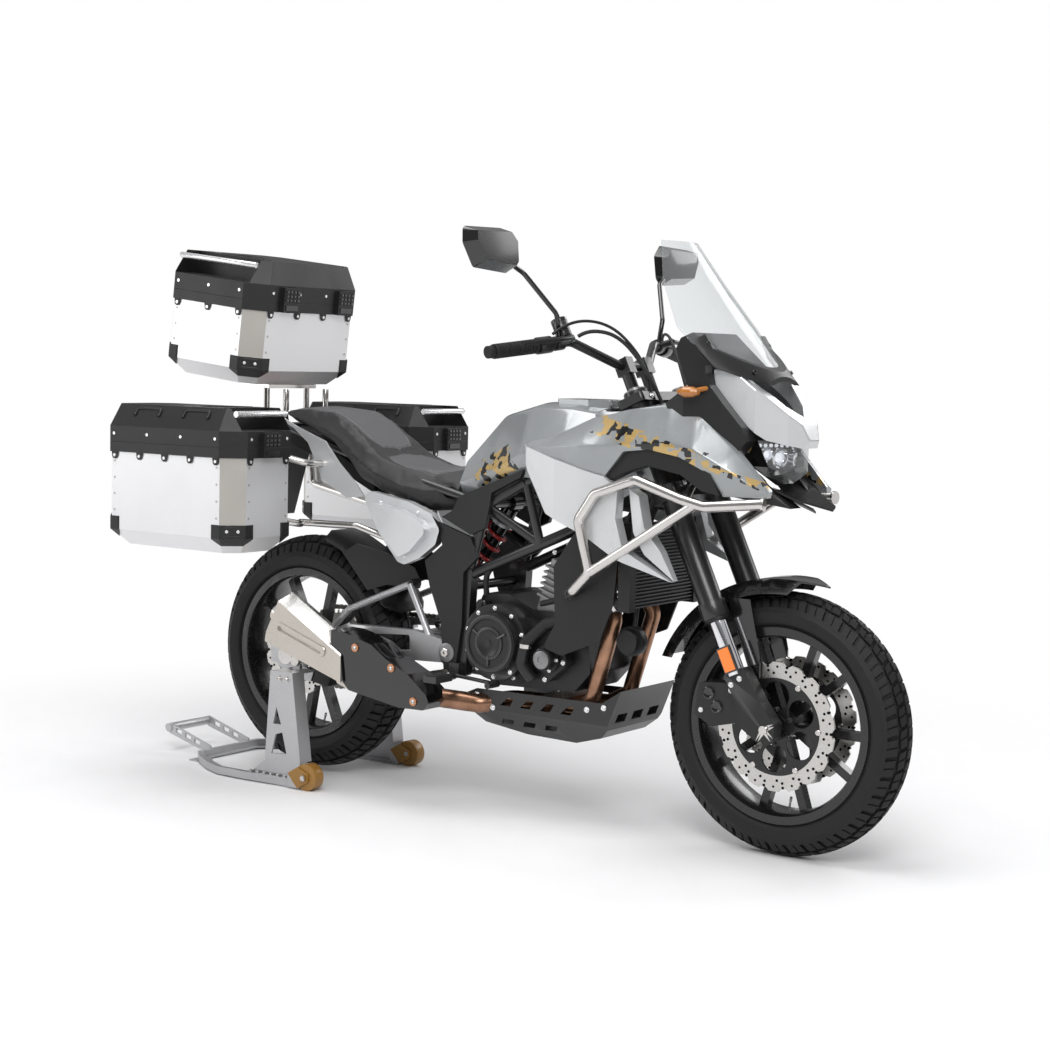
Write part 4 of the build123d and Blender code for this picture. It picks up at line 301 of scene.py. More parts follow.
class Build:
    """Collects closed forms, drawn in mm, into one mesh with its finishes."""

    def __init__(self):
        self.points, self.faces, self.marks, self.finishes = [], [], [], []

    def add(self, points, faces, finish_of):
        """Adds one form's places and faces, in one finish."""
        base = len(self.points)
        if finish_of not in self.finishes:
            self.finishes.append(finish_of)
        self.points += [place(p) for p in points]
        self.faces += [[base + i for i in face] for face in faces]
        self.marks += [self.finishes.index(finish_of)] * len(faces)

    def turned(self, at, axis, profile, finish_of, count=16, closed=False):
        """A profile of (radius, height) turned round an axis. A closed one makes a ring."""
        axis = Vector(axis).normalized()
        side = axis.orthogonal().normalized()
        other = axis.cross(side)
        points = [Vector(at) + axis * h + (side * math.cos(a) + other * math.sin(a)) * max(r, 0.01)
                  for r, h in profile for a in (2 * math.pi * k / count for k in range(count))]
        rows = len(profile)
        faces = []
        for i in range(rows if closed else rows - 1):
            row, following = i * count, (i + 1) % rows * count
            faces += [(row + k, row + (k + 1) % count, following + (k + 1) % count, following + k)
                      for k in range(count)]
        if not closed:
            faces += [list(range(count))[::-1], [(rows - 1) * count + k for k in range(count)]]
        self.add(points, faces, finish_of)

    def rod(self, a, b, r, finish_of, count=12):
        """A round rod from one place to another."""
        along = Vector(b) - Vector(a)
        self.turned(a, along, [(r, 0), (r, along.length)], finish_of, count)

    def block(self, at, size, finish_of, turn=Matrix.Identity(3)):
        """A box about its middle, turned as asked."""
        points = [Vector(at) + turn @ Vector((x * size[0] / 2, y * size[1] / 2, z * size[2] / 2))
                  for x in (-1, 1) for y in (-1, 1) for z in (-1, 1)]
        faces = [(0, 1, 3, 2), (4, 6, 7, 5), (0, 4, 5, 1), (2, 3, 7, 6), (0, 2, 6, 4), (1, 5, 7, 3)]
        self.add(points, faces, finish_of)

    def plate(self, outline, depth, finish_of):
        """A flat outline of places, given its thickness along a vector."""
        n = len(outline)
        points = [Vector(p) for p in outline] + [Vector(p) + Vector(depth) for p in outline]
        sides = [(k, (k + 1) % n, n + (k + 1) % n, n + k) for k in range(n)]
        self.add(points, [list(range(n))[::-1], list(range(n, 2 * n)), *sides], finish_of)

    def mesh(self, name):
        """The collected forms as one mesh."""
        mesh = bpy.data.meshes.new(name)
        mesh.from_pydata(self.points, [], self.faces)
        for finish_of in self.finishes:
            mesh.materials.append(finish_of)
        mesh.polygons.foreach_set("material_index", self.marks)
        return mesh

    def finish(self, name, body, slot, angle=38):
        """The collected forms as one piece that rides on a body."""
        return settle(name, self.mesh(name), body, angle)


dress("front_rim", rim_black)
dress("rear_rim", rim_black)
bright_steel = surface("polished_steel", (0.62, 0.60, 0.58), 0.22, metal=1.0, vary=0.06, grain=120,
                       stretch=(1, 1, 12), bump=0.03)
for end, hub in (("front", FRONT_HUB), ("rear", REAR_HUB)):
    valve = Build()
    valve.turned(hub + Vector((0, 22, -212)), (0, 0.35, 1), VALVE_STEM, bright_steel, 12)
    valve.finish(end + "_valve", end + "_wheel", "steel_bright")

# ---------------------------------------------------------------- brake discs
# Floating discs stamped from stainless steel with a scalloped rim and drilled holes, ground flat. Black
# carriers hold them by round float buttons, and cap screws fix the carriers to the hubs.
DISCS = (("front_discs", "front", FRONT_HUB, ((56, 1), (56, -1), (-56, -1), (-56, 1)), 150, 115, 18),
         ("rear_disc", "rear", REAR_HUB, ((-84, -1), (-84, 1)), 112, 78, 14))   # faces, outer, inner, waves
CARRIER_IN = {"front": 2, "rear": 1}   # how far the black carrier's edge lies inside the ring's inner radius
CARRIER_COLOR = (0.009, 0.009, 0.0095)
carrier_black = surface("carrier_black", CARRIER_COLOR, 0.34, coat=0.2, edge_highlight=(0.07, 0.07, 0.07), bump=0.08)
# Painted shade: near-black matte caps laid on the disc faces stand in for the dark of the drilled holes.
drilled_dark = surface("drilled_dark", (0.006, 0.006, 0.006), 0.85, bump=0.02, shine=0.1)


def screw_tree():
    """Sets a cap screw on each point: washer, chamfered head and a recess, facing the point's own way."""
    tree, given, result = new_tree("screws", Sides="Int", Washer="Float", Rise="Float", Mouth="Float",
                                   Recess="Float", Finish="Material")
    washer = put(tree, "GeometryNodeMeshCylinder",
                 {"Vertices": given["Sides"], "Radius": given["Washer"], "Depth": 0.7})
    shank = put(tree, "GeometryNodeMeshCylinder",
                {"Vertices": given["Sides"], "Radius": 1.0, "Depth": given["Rise"]})
    lift = put(tree, "ShaderNodeMath", {0: given["Rise"], 1: 0.5}, operation="MULTIPLY")
    up = put(tree, "ShaderNodeCombineXYZ", {"Z": lift["Value"]})
    stood = put(tree, "GeometryNodeTransform", {"Geometry": shank["Mesh"], "Translation": up["Vector"]})
    normal = put(tree, "GeometryNodeInputNormal", {})
    split = put(tree, "ShaderNodeSeparateXYZ", {"Vector": normal["Normal"]})
    top = put(tree, "FunctionNodeCompare", {0: split["Z"], 1: 0.9}, operation="GREATER_THAN")["Result"]
    head = stood["Geometry"]
    chamfer, mouth, recess = (0.16, 0.84), (0.0, given["Mouth"]), (given["Recess"], 0.92)
    for rise, share in (chamfer, mouth, recess):
        pulled = put(tree, "GeometryNodeExtrudeMesh", {"Mesh": head, "Selection": top, "Offset Scale": rise})
        shrunk = put(tree, "GeometryNodeScaleElements",
                     {"Geometry": pulled["Mesh"], "Selection": pulled["Top"], "Scale": share})
        head, top = shrunk["Geometry"], pulled["Top"]
    both = tree.nodes.new("GeometryNodeJoinGeometry")
    tree.links.new(washer["Mesh"], both.inputs["Geometry"])
    tree.links.new(head, both.inputs["Geometry"])
    way = put(tree, "GeometryNodeInputNamedAttribute", {"Name": "facing"}, data_type="FLOAT_VECTOR")
    size = put(tree, "GeometryNodeInputNamedAttribute", {"Name": "size"}, data_type="FLOAT")
    facing = put(tree, "FunctionNodeAlignRotationToVector", {"Vector": way["Attribute"]}, axis="Z")
    copies = put(tree, "GeometryNodeInstanceOnPoints",
                 {"Points": given["Geometry"], "Instance": both.outputs["Geometry"],
                  "Rotation": facing["Rotation"], "Scale": size["Attribute"]})
    return end_tree(tree, copies["Instances"], given, result)


def spots_mesh(spots):
    """Loose points with the way each one faces and its size, from (place in mm, way, radius in mm)."""
    mesh = bpy.data.meshes.new("spots")
    mesh.from_pydata([place(at) for at, way, r in spots], [], [])
    mesh.attributes.new("facing", "FLOAT_VECTOR", "POINT")
    mesh.attributes.new("size", "FLOAT", "POINT")
    for k, (at, way, r) in enumerate(spots):
        mesh.attributes["facing"].data[k].vector = way
        mesh.attributes["size"].data[k].value = r / 1000
    return mesh


cap_screws = screw_tree()


def screws(name, spots, body, finish_of, sides=12, washer=1.35, rise=0.95, mouth=0.62, recess=-0.45):
    """Cap screws on their washers at these spots. A small mouth and no recess make a rivet."""
    mesh = grow(cap_screws, spots_mesh(spots), Sides=sides, Washer=washer, Rise=rise, Mouth=mouth,
                Recess=recess, Finish=finish_of)
    return settle(name, mesh, body)


def ring_of(centre, radius, side, count, way, r, start=0.0):
    """Spots for screws or holes on a circle about an axle, all facing the same side."""
    spots = []
    for a in (start + 2 * math.pi * k / count for k in range(count)):
        at = Vector((centre.x + radius * math.cos(a), side, centre.z + radius * math.sin(a)))
        spots.append((at, (0, way, 0), r))
    return spots


def enamel_within(finish_of, hub, radius):
    """Lays black enamel over a steel finish inside a radius in mm about an axle."""
    tree = finish_of.node_tree
    skin = tree.nodes["Principled BSDF"]
    coords = put(tree, "ShaderNodeTexCoord", {})
    flat = put(tree, "ShaderNodeMapping",
               {"Vector": coords["Object"], "Scale": (1, 0, 1), "Location": place(hub) * -1})
    away = put(tree, "ShaderNodeVectorMath", {0: flat["Vector"]}, operation="LENGTH")
    beyond = put(tree, "ShaderNodeMath", {0: away["Value"], 1: radius / 1000}, operation="GREATER_THAN")
    coat = put(tree, "ShaderNodeMix",
               {"Factor": beyond["Value"], "A": (*CARRIER_COLOR, 1),
                "B": skin.inputs["Base Color"].links[0].from_socket}, data_type="RGBA")
    tree.links.new(coat["Result"], skin.inputs["Base Color"])
    tree.links.new(beyond["Value"], skin.inputs["Metallic"])
    return finish_of


for name, end, hub, faces, outer, inner, waves in DISCS:
    faced_steel = surface(name + "_steel", (0.60, 0.585, 0.56), 0.30, metal=1.0, vary=0.12, grain=260,
                          bump=0.06)
    dress(name, enamel_within(faced_steel, hub, inner - CARRIER_IN[end]), 0.6)
    drillings = ((inner + 9, 0.2, 3.4), ((outer + inner) / 2 - 2, 0.5, 3.4), (outer - 11, 0.0, 3.0),
                 (outer - 9, 0.5, 3.6))         # circle, share of a wave, hole
    holes, buttons, bolts = [], [], []
    for y, way in faces:
        for circle, turn, hole in drillings:
            start = 2 * math.pi * (turn + 0.5) / waves
            holes += ring_of(hub, circle, y + way * 1.95, waves, way, hole, start)
        buttons += ring_of(hub, inner - 6, y + way * 2.0, 6, way, 7)
        bolts += ring_of(hub, 40, y + way * 2.55, 6, way, 4.6, 0.5)
    # Painted shade: flat near-black caps at each hole's place, in place of see-through holes.
    screws(end + "_disc_holes", holes, end + "_wheel", drilled_dark, sides=8, washer=1.0,
           rise=0.25, mouth=0.9, recess=-0.02)
    screws(end + "_disc_buttons", buttons, end + "_wheel", bright_steel, washer=1.0,
           rise=0.35, mouth=0.5, recess=-0.15)
    screws(end + "_disc_screws", bolts, end + "_wheel", carrier_black)

# ---------------------------------------------------------------- rear sprocket and chain
# A toothed steel plate screwed to the rear hub, with lightening windows. The chain is pressed from steel:
# outer and inner side plates in turn, riveted over bushes and rollers, 106 links in the loop.
LINKS = 106
HALF_PITCH, PLATE, CHAIN_LEFT = 8.0, 1.6, 89.0
REAR_PITCH_LINE, FRONT_PITCH_LINE = 110.4, 44.4
GEARBOX_SHAFT = Vector((600, 0, 402))
sprocket_steel = surface("sprocket_steel", (0.42, 0.41, 0.39), 0.34, metal=1.0, vary=0.15, grain=260,
                         bump=0.08)
dress("rear_sprocket", sprocket_steel, 0.5)
screws("sprocket_screws", ring_of(REAR_HUB, 52, 91.5, 5, 1, 5.5), "rear_wheel",
       bright_steel)


def chain_line():
    """The chain's pitch line: an arc round each sprocket and two straight runs, as a closed string."""
    flat = GEARBOX_SHAFT - REAR_HUB
    tilt, reach = math.atan2(flat.z, flat.x), flat.length
    wrap = math.acos((REAR_PITCH_LINE - FRONT_PITCH_LINE) / reach)
    line = []
    arcs = ((GEARBOX_SHAFT, FRONT_PITCH_LINE, tilt + wrap, tilt - wrap),
            (REAR_HUB, REAR_PITCH_LINE, tilt - wrap, tilt + wrap - 2 * math.pi))
    for hub, radius, start, end in arcs:
        for k in range(49):
            a = start + (end - start) * k / 48
            line.append(Vector((hub.x + radius * math.cos(a), CHAIN_LEFT, hub.z + radius * math.sin(a))))
    mesh = bpy.data.meshes.new("chain_line")
    mesh.from_pydata([place(p) for p in line], [(k, (k + 1) % len(line)) for k in range(len(line))], [])
    return mesh


def link_tree():
    """Lays links end to end along a closed line, the outer and the inner kind in turn."""
    tree, given, result = new_tree("chain", Links="Int", Outer="Object", Inner="Object", Finish="Material")
    line = put(tree, "GeometryNodeMeshToCurve", {"Mesh": given["Geometry"]})
    even = put(tree, "GeometryNodeResampleCurve", {"Curve": line["Curve"], "Count": given["Links"]})
    ahead = put(tree, "GeometryNodeInputTangent", {})
    facing = put(tree, "FunctionNodeAlignRotationToVector", {"Vector": ahead["Tangent"]}, axis="X",
                 pivot_axis="Y")
    order = put(tree, "GeometryNodeInputIndex", {})
    odd = put(tree, "ShaderNodeMath", {0: order["Index"], 1: 2.0}, operation="MODULO")
    even_one = put(tree, "ShaderNodeMath", {0: 1.0, 1: odd["Value"]}, operation="SUBTRACT")
    joined = None
    for kind, turn_of in (("Outer", odd), ("Inner", even_one)):
        shape = put(tree, "GeometryNodeObjectInfo", {"Object": given[kind]})
        copies = put(tree, "GeometryNodeInstanceOnPoints",
                     {"Points": even["Curve"], "Selection": turn_of["Value"], "Instance": shape["Geometry"],
                      "Rotation": facing["Rotation"]})
        if joined is None:
            joined = tree.nodes.new("GeometryNodeJoinGeometry")
        tree.links.new(copies["Instances"], joined.inputs["Geometry"])
    return end_tree(tree, joined.outputs["Geometry"], given, result)


def chain_link(name, spread, half_pin, pin_r):
    """One link about its middle: two waisted plates, with its rollers or its riveted pins at both ends."""
    link = Build()
    middle = Vector((REAR_AXLE_AHEAD, 0, 0))
    lower = [(-14, -2.5), (-11, -6), (-5, -6), (0, -4), (5, -6), (11, -6), (14, -2.5)]
    outline = lower + [(x, -z) for x, z in reversed(lower)]
    for y in (-spread, spread):
        plate = [middle + Vector((x, y - PLATE / 2, z)) for x, z in outline]
        link.plate(plate, (0, PLATE, 0), chain_steel)
    for x in (-HALF_PITCH, HALF_PITCH):
        pin = Vector((0, half_pin, 0))
        link.rod(middle + Vector((x, 0, 0)) - pin, middle + Vector((x, 0, 0)) + pin, pin_r, chain_steel, 8)
    return in_scene(name, link.mesh(name))


chain_steel = surface("chain_steel", (0.24, 0.23, 0.21), 0.36, metal=0.9, vary=0.25, grain=300, bump=0.1)
outer_link, inner_link = chain_link("outer_link", 6.2, 7.4, 2.6), chain_link("inner_link", 3.8, 3.0, 5.0)
chain = grow(link_tree(), chain_line(), Links=LINKS, Outer=outer_link, Inner=inner_link, Finish=chain_steel)
for shape in (outer_link, inner_link):
    bpy.data.objects.remove(shape)
NODES["drive_chain"].data.materials.append(chain_steel)
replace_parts(settle("chain_links", chain, "chassis", 30), "drive_chain")

# ---------------------------------------------------------------- swingarm and rear axle
# A box-section arm welded from aluminium plate and satin silver, on a pivot through the frame. The axle is
# turned steel, held by a flanged nut at each end with the chain's adjuster block beside it.
satin_alloy = surface("satin_alloy", (0.50, 0.50, 0.51), 0.40, metal=0.8, vary=0.1, grain=420, bump=0.25)
cast_black = surface("cast_black", (0.012, 0.012, 0.0125), 0.40, metal=0.1, edge_highlight=(0.09, 0.09, 0.09),
                     grain=900, bump=0.15)


def paint(name, rule):
    """Gives each face of a CAD piece the finish that a rule names from its place in mm and its facing."""
    mesh = NODES[name].data
    for face in mesh.polygons:
        c = face.center
        finish_of = rule(Vector((c.x * 1000 + REAR_AXLE_AHEAD, c.y * 1000, c.z * 1000)), face.normal)
        if finish_of is None:
            continue
        if finish_of.name not in mesh.materials:
            mesh.materials.append(finish_of)
        face.material_index = mesh.materials.find(finish_of.name)


dress("swingarm", satin_alloy)
dress("rear_axle", bright_steel, 0.8)
paint("swingarm", lambda c, n: cast_black if -99 < c.y < -49 and c.x < 140 else None)
axle_ends, block_screws = Build(), []
for way in (-1, 1):
    flange = [(24, 0), (24, 1.6), (15.5, 2), (15.5, 1.9)]
    axle_ends.turned((0, way * 136, 329), (0, way, 0), flange, bright_steel, 24)
    axle_ends.block((30, way * 124.8, 328), (74, 2.4, 30), cast_black)
    block_screws.append(((66, way * 126, 330), (0, way, 0), 5))
axle_ends.finish("axle_trim", "chassis", "steel_bright")
screws("adjuster_screws", block_screws, "chassis", bright_steel)

# ---------------------------------------------------------------- rear hugger
# A mudguard moulded in black plastic with a fine grain. It follows the rear tyre's curve closely and is
# screwed to the swingarm.
black_plastic = surface("black_plastic", (0.0105, 0.0105, 0.011), 0.42, vary=0.15, grain=1200, bump=0.22,
                        shine=0.4)
dress("rear_hugger", black_plastic)

# ---------------------------------------------------------------- rear shock
# A gas damper with a chromed rod and a black body, inside a coil spring wound from steel wire and coated
# red. Turned collars seat the spring, and rubber-lined eyes take the bolts.
SPRING_WIRE, SPRING_MEAN, SPRING_TURNS = 10.0, 55.0, 7.0
SPRING_FOOT, SPRING_LONG = 0.215, 0.62     # shares of the way from the lower eye to the upper
low_eye, high_eye = Vector((428, 0, 447)), Vector((640, 0, 770))
spring_red = surface("spring_red", (0.36, 0.015, 0.015), 0.3, coat=0.5, vary=0.08)
gloss_black = surface("gloss_black", (0.006, 0.006, 0.0065), 0.14, coat=0.6, bump=0.02)
chrome = surface("chrome", (0.75, 0.75, 0.77), 0.10, metal=1.0, vary=0.03, bump=0.01)


def spring_tree():
    """Winds a wire into an open coil of this size, and leans it into place."""
    tree, given, result = new_tree("coil_spring", Turns="Float", Mean="Float", Wire="Float", Length="Float",
                                   Foot="Vector", Lean="Vector", Finish="Material")
    coil = put(tree, "GeometryNodeCurveSpiral",
               {"Resolution": 20, "Rotations": given["Turns"], "Start Radius": given["Mean"],
                "End Radius": given["Mean"], "Height": given["Length"]})
    round_wire = put(tree, "GeometryNodeCurvePrimitiveCircle", {"Resolution": 10, "Radius": given["Wire"]})
    wound = put(tree, "GeometryNodeCurveToMesh",
                {"Curve": coil["Curve"], "Profile Curve": round_wire["Curve"], "Fill Caps": True})
    leant = put(tree, "GeometryNodeTransform",
                {"Geometry": wound["Mesh"], "Translation": given["Foot"], "Rotation": given["Lean"]})
    return end_tree(tree, leant["Geometry"], given, result)


stroke = high_eye - low_eye
coil = grow(spring_tree(), bpy.data.meshes.new("coil"), Turns=SPRING_TURNS, Mean=SPRING_MEAN / 2000,
            Wire=SPRING_WIRE / 2000, Length=stroke.length * SPRING_LONG / 1000,
            Foot=place(low_eye + stroke * SPRING_FOOT), Lean=(0.0, math.atan2(stroke.x, stroke.z), 0.0),
            Finish=spring_red)
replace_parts(settle("rear_spring", coil, "chassis"), "rear_shock")
damper, along = Build(), stroke.normalized()
damper.rod(low_eye, high_eye, 9, chrome, 16)
damper.rod(low_eye + stroke * 0.55, high_eye - along * 14, 21, gloss_black, 24)
for share in (0.19, 0.85):
    damper.turned(low_eye + stroke * share, along, [(32, -4), (32, 4), (30, 5.5), (12, 5.5)], satin_alloy, 28)
for eye in (low_eye, high_eye):
    damper.turned(eye - Vector((0, 18, 0)), (0, 1, 0), [(20, 0), (20, 36), (12.2, 36), (12.2, 0)],
                  gloss_black, 24, closed=True)
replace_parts(damper.finish("rear_damper", "chassis", "steel_black"), "rear_shock")

# ---------------------------------------------------------------- frame, subframes and foot pegs
# A trellis of steel tubes, coped, welded and powder-coated black, with bolted subframes for the seat and
# the pegs. The pegs' treads are cleated bars, and socket screws join the parts.
PIVOT_X, PIVOT_Z = 545, 395
PEG_MIDDLE, CLEAT_PITCH = 219, 5.2
frame_black = surface("frame_black", (0.010, 0.010, 0.0105), 0.33, coat=0.25, edge_highlight=(0.08, 0.08, 0.08),
                      bump=0.06)
cast_grey = surface("cast_grey", (0.27, 0.27, 0.275), 0.42, metal=0.8, grain=500, bump=0.3)
dress("frame_main", frame_black)
dress("subframes", frame_black)
bolt_alloy = surface("bolt_alloy", (0.80, 0.80, 0.81), 0.26, metal=0.85, vary=0.05, grain=200, bump=0.03)
pivot_nuts, joint_screws, cleats = Build(), [], []
for way in (-1, 1):
    pivot_nuts.turned((PIVOT_X, way * 142.5, PIVOT_Z), (0, way, 0), [(24, -2), (24, 2), (20, 3.5), (13, 3.5)],
                      cast_grey, 24)
    pivot_nuts.turned((PIVOT_X, way * 144, PIVOT_Z), (0, way, 0),
                      [(12, 0), (12, 7), (10.5, 8.5), (5, 8.5), (4.5, 5)], bright_steel, 6)
    joint_screws += [((x, way * 150.0, z), (0, way, 0), 4.0) for x, z in ((330, 760), (452, 742), (410, 628))]
    cleats += [((563 + CLEAT_PITCH * k, way * PEG_MIDDLE, 351.5), (0, 0, 1), 1.0) for k in range(7)]
pivot_nuts.finish("pivot_nuts", "chassis", "steel_bright")
screws("frame_screws", joint_screws, "chassis", bolt_alloy)


def bar_tree():
    """Sets a squared bar on each point, upright to the way the point faces and level across the machine."""
    tree, given, result = new_tree("bars", Size="Vector", Chamfer="Float", Finish="Material")
    bar = put(tree, "GeometryNodeMeshCube", {"Size": given["Size"]})
    normal = put(tree, "GeometryNodeInputNormal", {})
    split = put(tree, "ShaderNodeSeparateXYZ", {"Vector": normal["Normal"]})
    top = put(tree, "FunctionNodeCompare", {0: split["Z"], 1: 0.9}, operation="GREATER_THAN")
    raised = put(tree, "GeometryNodeExtrudeMesh",
                 {"Mesh": bar["Mesh"], "Selection": top["Result"], "Offset Scale": given["Chamfer"]})
    shaped = put(tree, "GeometryNodeScaleElements",
                 {"Geometry": raised["Mesh"], "Selection": raised["Top"], "Scale": 0.78})
    way = put(tree, "GeometryNodeInputNamedAttribute", {"Name": "facing"}, data_type="FLOAT_VECTOR")
    facing = put(tree, "FunctionNodeAlignRotationToVector", {"Vector": way["Attribute"]}, axis="Z",
                 pivot_axis="Y")
    copies = put(tree, "GeometryNodeInstanceOnPoints",
                 {"Points": given["Geometry"], "Instance": shaped["Geometry"],
                  "Rotation": facing["Rotation"]})
    return end_tree(tree, copies["Instances"], given, result)


bars = bar_tree()
cleated = grow(bars, spots_mesh(cleats), Size=(0.0022, 0.056, 0.003), Chamfer=0.0004, Finish=cast_black)
settle("peg_cleats", cleated, "chassis")

# ---------------------------------------------------------------- skid plate and side stand
# The plate is folded from steel sheet, pierced with slanted windows, powder-coated and screwed under the
# engine. The side stand is a welded steel leg that turns on a shoulder bolt.
dress("skid_plate", frame_black)
dress("side_stand", frame_black)
screws("skid_plate_screws", [((x, way * 124.2, z), (0, way, 0), 5.5) for way in (-1, 1)
                             for x, z in ((680, 270), (958, 298), (630, 298), (1006, 308))],
       "chassis", bolt_alloy)

# ---------------------------------------------------------------- engine
# A liquid-cooled single: die-cast crankcases and covers in black, with a bare finned cylinder above. Cap
# screws in bosses hold the covers, and worm-drive clips hold the coolant hoses to their stubs.
CRANK_X, CRANK_Z = 702, 438
COVERS = ((-1, -178, 74, -155.5), (1, 168, 66, 145.5))     # way, face, rim radius, rim's own face
CASE_BOSSES = ((640, 372), (648, 488), (754, 497), (866, 462), (888, 404), (836, 358), (742, 352))
PUMP = Vector((845, -158, 410))
BARREL_FOOT, BARREL_LEAN = Vector((826, 0, 500)), math.radians(18)
engine_black = surface("engine_black", (0.014, 0.014, 0.015), 0.34, metal=0.2, edge_highlight=(0.13, 0.13, 0.13),
                       grain=700, bump=0.2)
hose_rubber = surface("hose_rubber", (0.011, 0.011, 0.0115), 0.5, vary=0.15, grain=800, bump=0.25, shine=0.4)
dress("engine_block", engine_black, 1.6)
dress("cylinder_head", cast_grey, 0.8)
paint("engine_block", lambda c, n: hose_rubber if c.y < -114 and c.x > 778 and c.z > 446 else None)
castings, case_screws = Build(), []
for way, face, rim, rim_face in COVERS:
    middle, raised = Vector((CRANK_X, face, CRANK_Z)), Vector((0, way * 3, 0))
    bead = [(rim - 4, -1), (rim - 4, 3), (rim - 9, 4.5), (rim - 14, 3), (rim - 16, -1)]
    dome = [(40, -1), (40, 3.5), (34, 5), (30, 2.0), (8, 2.4), (8, 4), (3, 4.4)]
    castings.turned(middle, (0, way, 0), bead, engine_black, 48)
    castings.turned(middle, (0, way, 0), dome, engine_black, 40)
    case_screws += ring_of(middle, rim + 11, rim_face, 10, way, 4.4, math.pi / 10)
    for k in range(3):
        a = 0.5 + 2 * math.pi * k / 3
        spoke = Vector((math.cos(a), 0, math.sin(a)))
        castings.rod(middle + spoke * 30 + raised, middle + spoke * 56 + raised, 2.6, engine_black, 8)
    for x, z in CASE_BOSSES:
        case_screws.append(((x, way * 127.9, z), (0, way, 0), 4.6))
        castings.turned((x, way * 120, z), (0, way, 0), [(9, 0), (9, 7.6), (7, 8)], engine_black, 14)
castings.turned(PUMP, (0, -1, 0), [(22, -1), (22, 3), (18, 4.5), (9, 4.5), (8, 2.5)], cast_grey, 28)
case_screws += ring_of(PUMP, 29, -136.5, 5, -1, 3.6)
filler = [(15, -20), (15, 12), (13, 14), (8, 14), (7, 18), (4, 18)]
castings.turned((640, -120, 520), (0, -1, 0.25), filler, gloss_black, 18)
barrel_lean = Matrix.Rotation(BARREL_LEAN, 3, "Y")
barrel_up = barrel_lean @ Vector((0, 0, 1))


def on_barrel(x, y, z):
    """A place beside the cylinder, in its own leaning frame from the crankcase's top."""
    return BARREL_FOOT + barrel_lean @ Vector((x, y, z))


for way in (-1, 1):
    case_screws += [(on_barrel(x, way * 89, z), (0, way, 0), 4.2)
                    for x, z in ((-48, 158), (-16, 190), (16, 190), (48, 158))]
    castings.block(on_barrel(0, way * 86, 222), (70, 4, 22), engine_black, barrel_lean)
    case_screws += [(on_barrel(x, way * 88.2, 226), (0, way, 0), 3.6) for x in (-30, 30)]
for y in (-42, 42):
    castings.turned(on_barrel(-8, y, 240), barrel_up, [(15, 0), (15, 8), (9, 14), (7, 14)], hose_rubber, 14)
clips = (((796, -158, 440), (0.1, 0, 1)), ((900, -131, 512), (1, 0, 0.1)), ((1040, -139, 558), (0.9, 0, 0.4)))
for at, way in clips:
    castings.turned(at, way, [(16, -5), (16.4, -5), (16.4, 5), (16, 5)], bright_steel, 20, closed=True)
castings.finish("engine_castings", "chassis", "engine_black")
screws("engine_screws", case_screws, "chassis", bolt_alloy)


def pipe_tree():
    """Draws a round pipe or rib along each string of edges, with its corners eased."""
    tree, given, result = new_tree("pipes", Radius="Float", Sides="Int", Steps="Int", Finish="Material")
    line = put(tree, "GeometryNodeMeshToCurve", {"Mesh": given["Geometry"]})
    eased = put(tree, "GeometryNodeCurveSplineType", {"Curve": line["Curve"]}, spline_type="CATMULL_ROM")
    stepped = put(tree, "GeometryNodeSetSplineResolution",
                  {"Geometry": eased["Curve"], "Resolution": given["Steps"]})
    ring = put(tree, "GeometryNodeCurvePrimitiveCircle",
               {"Resolution": given["Sides"], "Radius": given["Radius"]})
    drawn = put(tree, "GeometryNodeCurveToMesh",
                {"Curve": stepped["Geometry"], "Profile Curve": ring["Curve"], "Fill Caps": True})
    return end_tree(tree, drawn["Mesh"], given, result)


def strings_mesh(strings):
    """Strings of edges through these places in mm."""
    mesh, points, edges = bpy.data.meshes.new("strings"), [], []
    for string in strings:
        edges += [(len(points) + k, len(points) + k + 1) for k in range(len(string) - 1)]
        points += [place(at) for at in string]
    mesh.from_pydata(points, edges, [])
    return mesh


pipes = pipe_tree()


def piping(name, strings, radius, body, finish_of, sides=10, steps=8):
    """Pipes or ribs of this radius in mm along these strings of places, as one piece."""
    mesh = grow(pipes, strings_mesh(strings), Radius=radius / 1000, Sides=sides, Steps=steps,
                Finish=finish_of)
    return settle(name, mesh, body, 50)


cooling = [on_barrel(60, -60, 196), on_barrel(84, -80, 190), on_barrel(92, -104, 160),
           on_barrel(60, -112, 96), (812, -118, 540)]
breather = [(640, -108, 548), (648, -116, 600), (690, -112, 640), (742, -100, 650)]
piping("engine_hoses", [cooling, breather], 7.4, "chassis", hose_rubber)

# ---------------------------------------------------------------- radiator
# A brazed aluminium core of flat tubes and thin fins between two tanks, with plastic guards at its sides. It
# hangs on the frame by its ears.
fin_grey = surface("fin_grey", (0.10, 0.10, 0.104), 0.5, metal=0.6, vary=0.15)
dress("radiator", black_plastic, 0.6)
paint("radiator", lambda c, n: fin_grey if abs(n.x) > 0.8 and abs(c.y) < 132 and 556 < c.z < 748 else None)

# ---------------------------------------------------------------- headers and silencer
# Two stainless pipes, tinted brown by heat, sweep under the engine to a wedge-shaped can of brushed steel.
# The black heat shield stands on copper washers and cap screws.
heated_steel = surface("heated_steel", (0.30, 0.165, 0.105), 0.28, metal=0.9, vary=0.4, grain=30, bump=0.06)
can_steel = surface("can_steel", (0.58, 0.54, 0.49), 0.30, metal=1.0, vary=0.08, grain=90,
                    stretch=(14, 14, 1), bump=0.04)
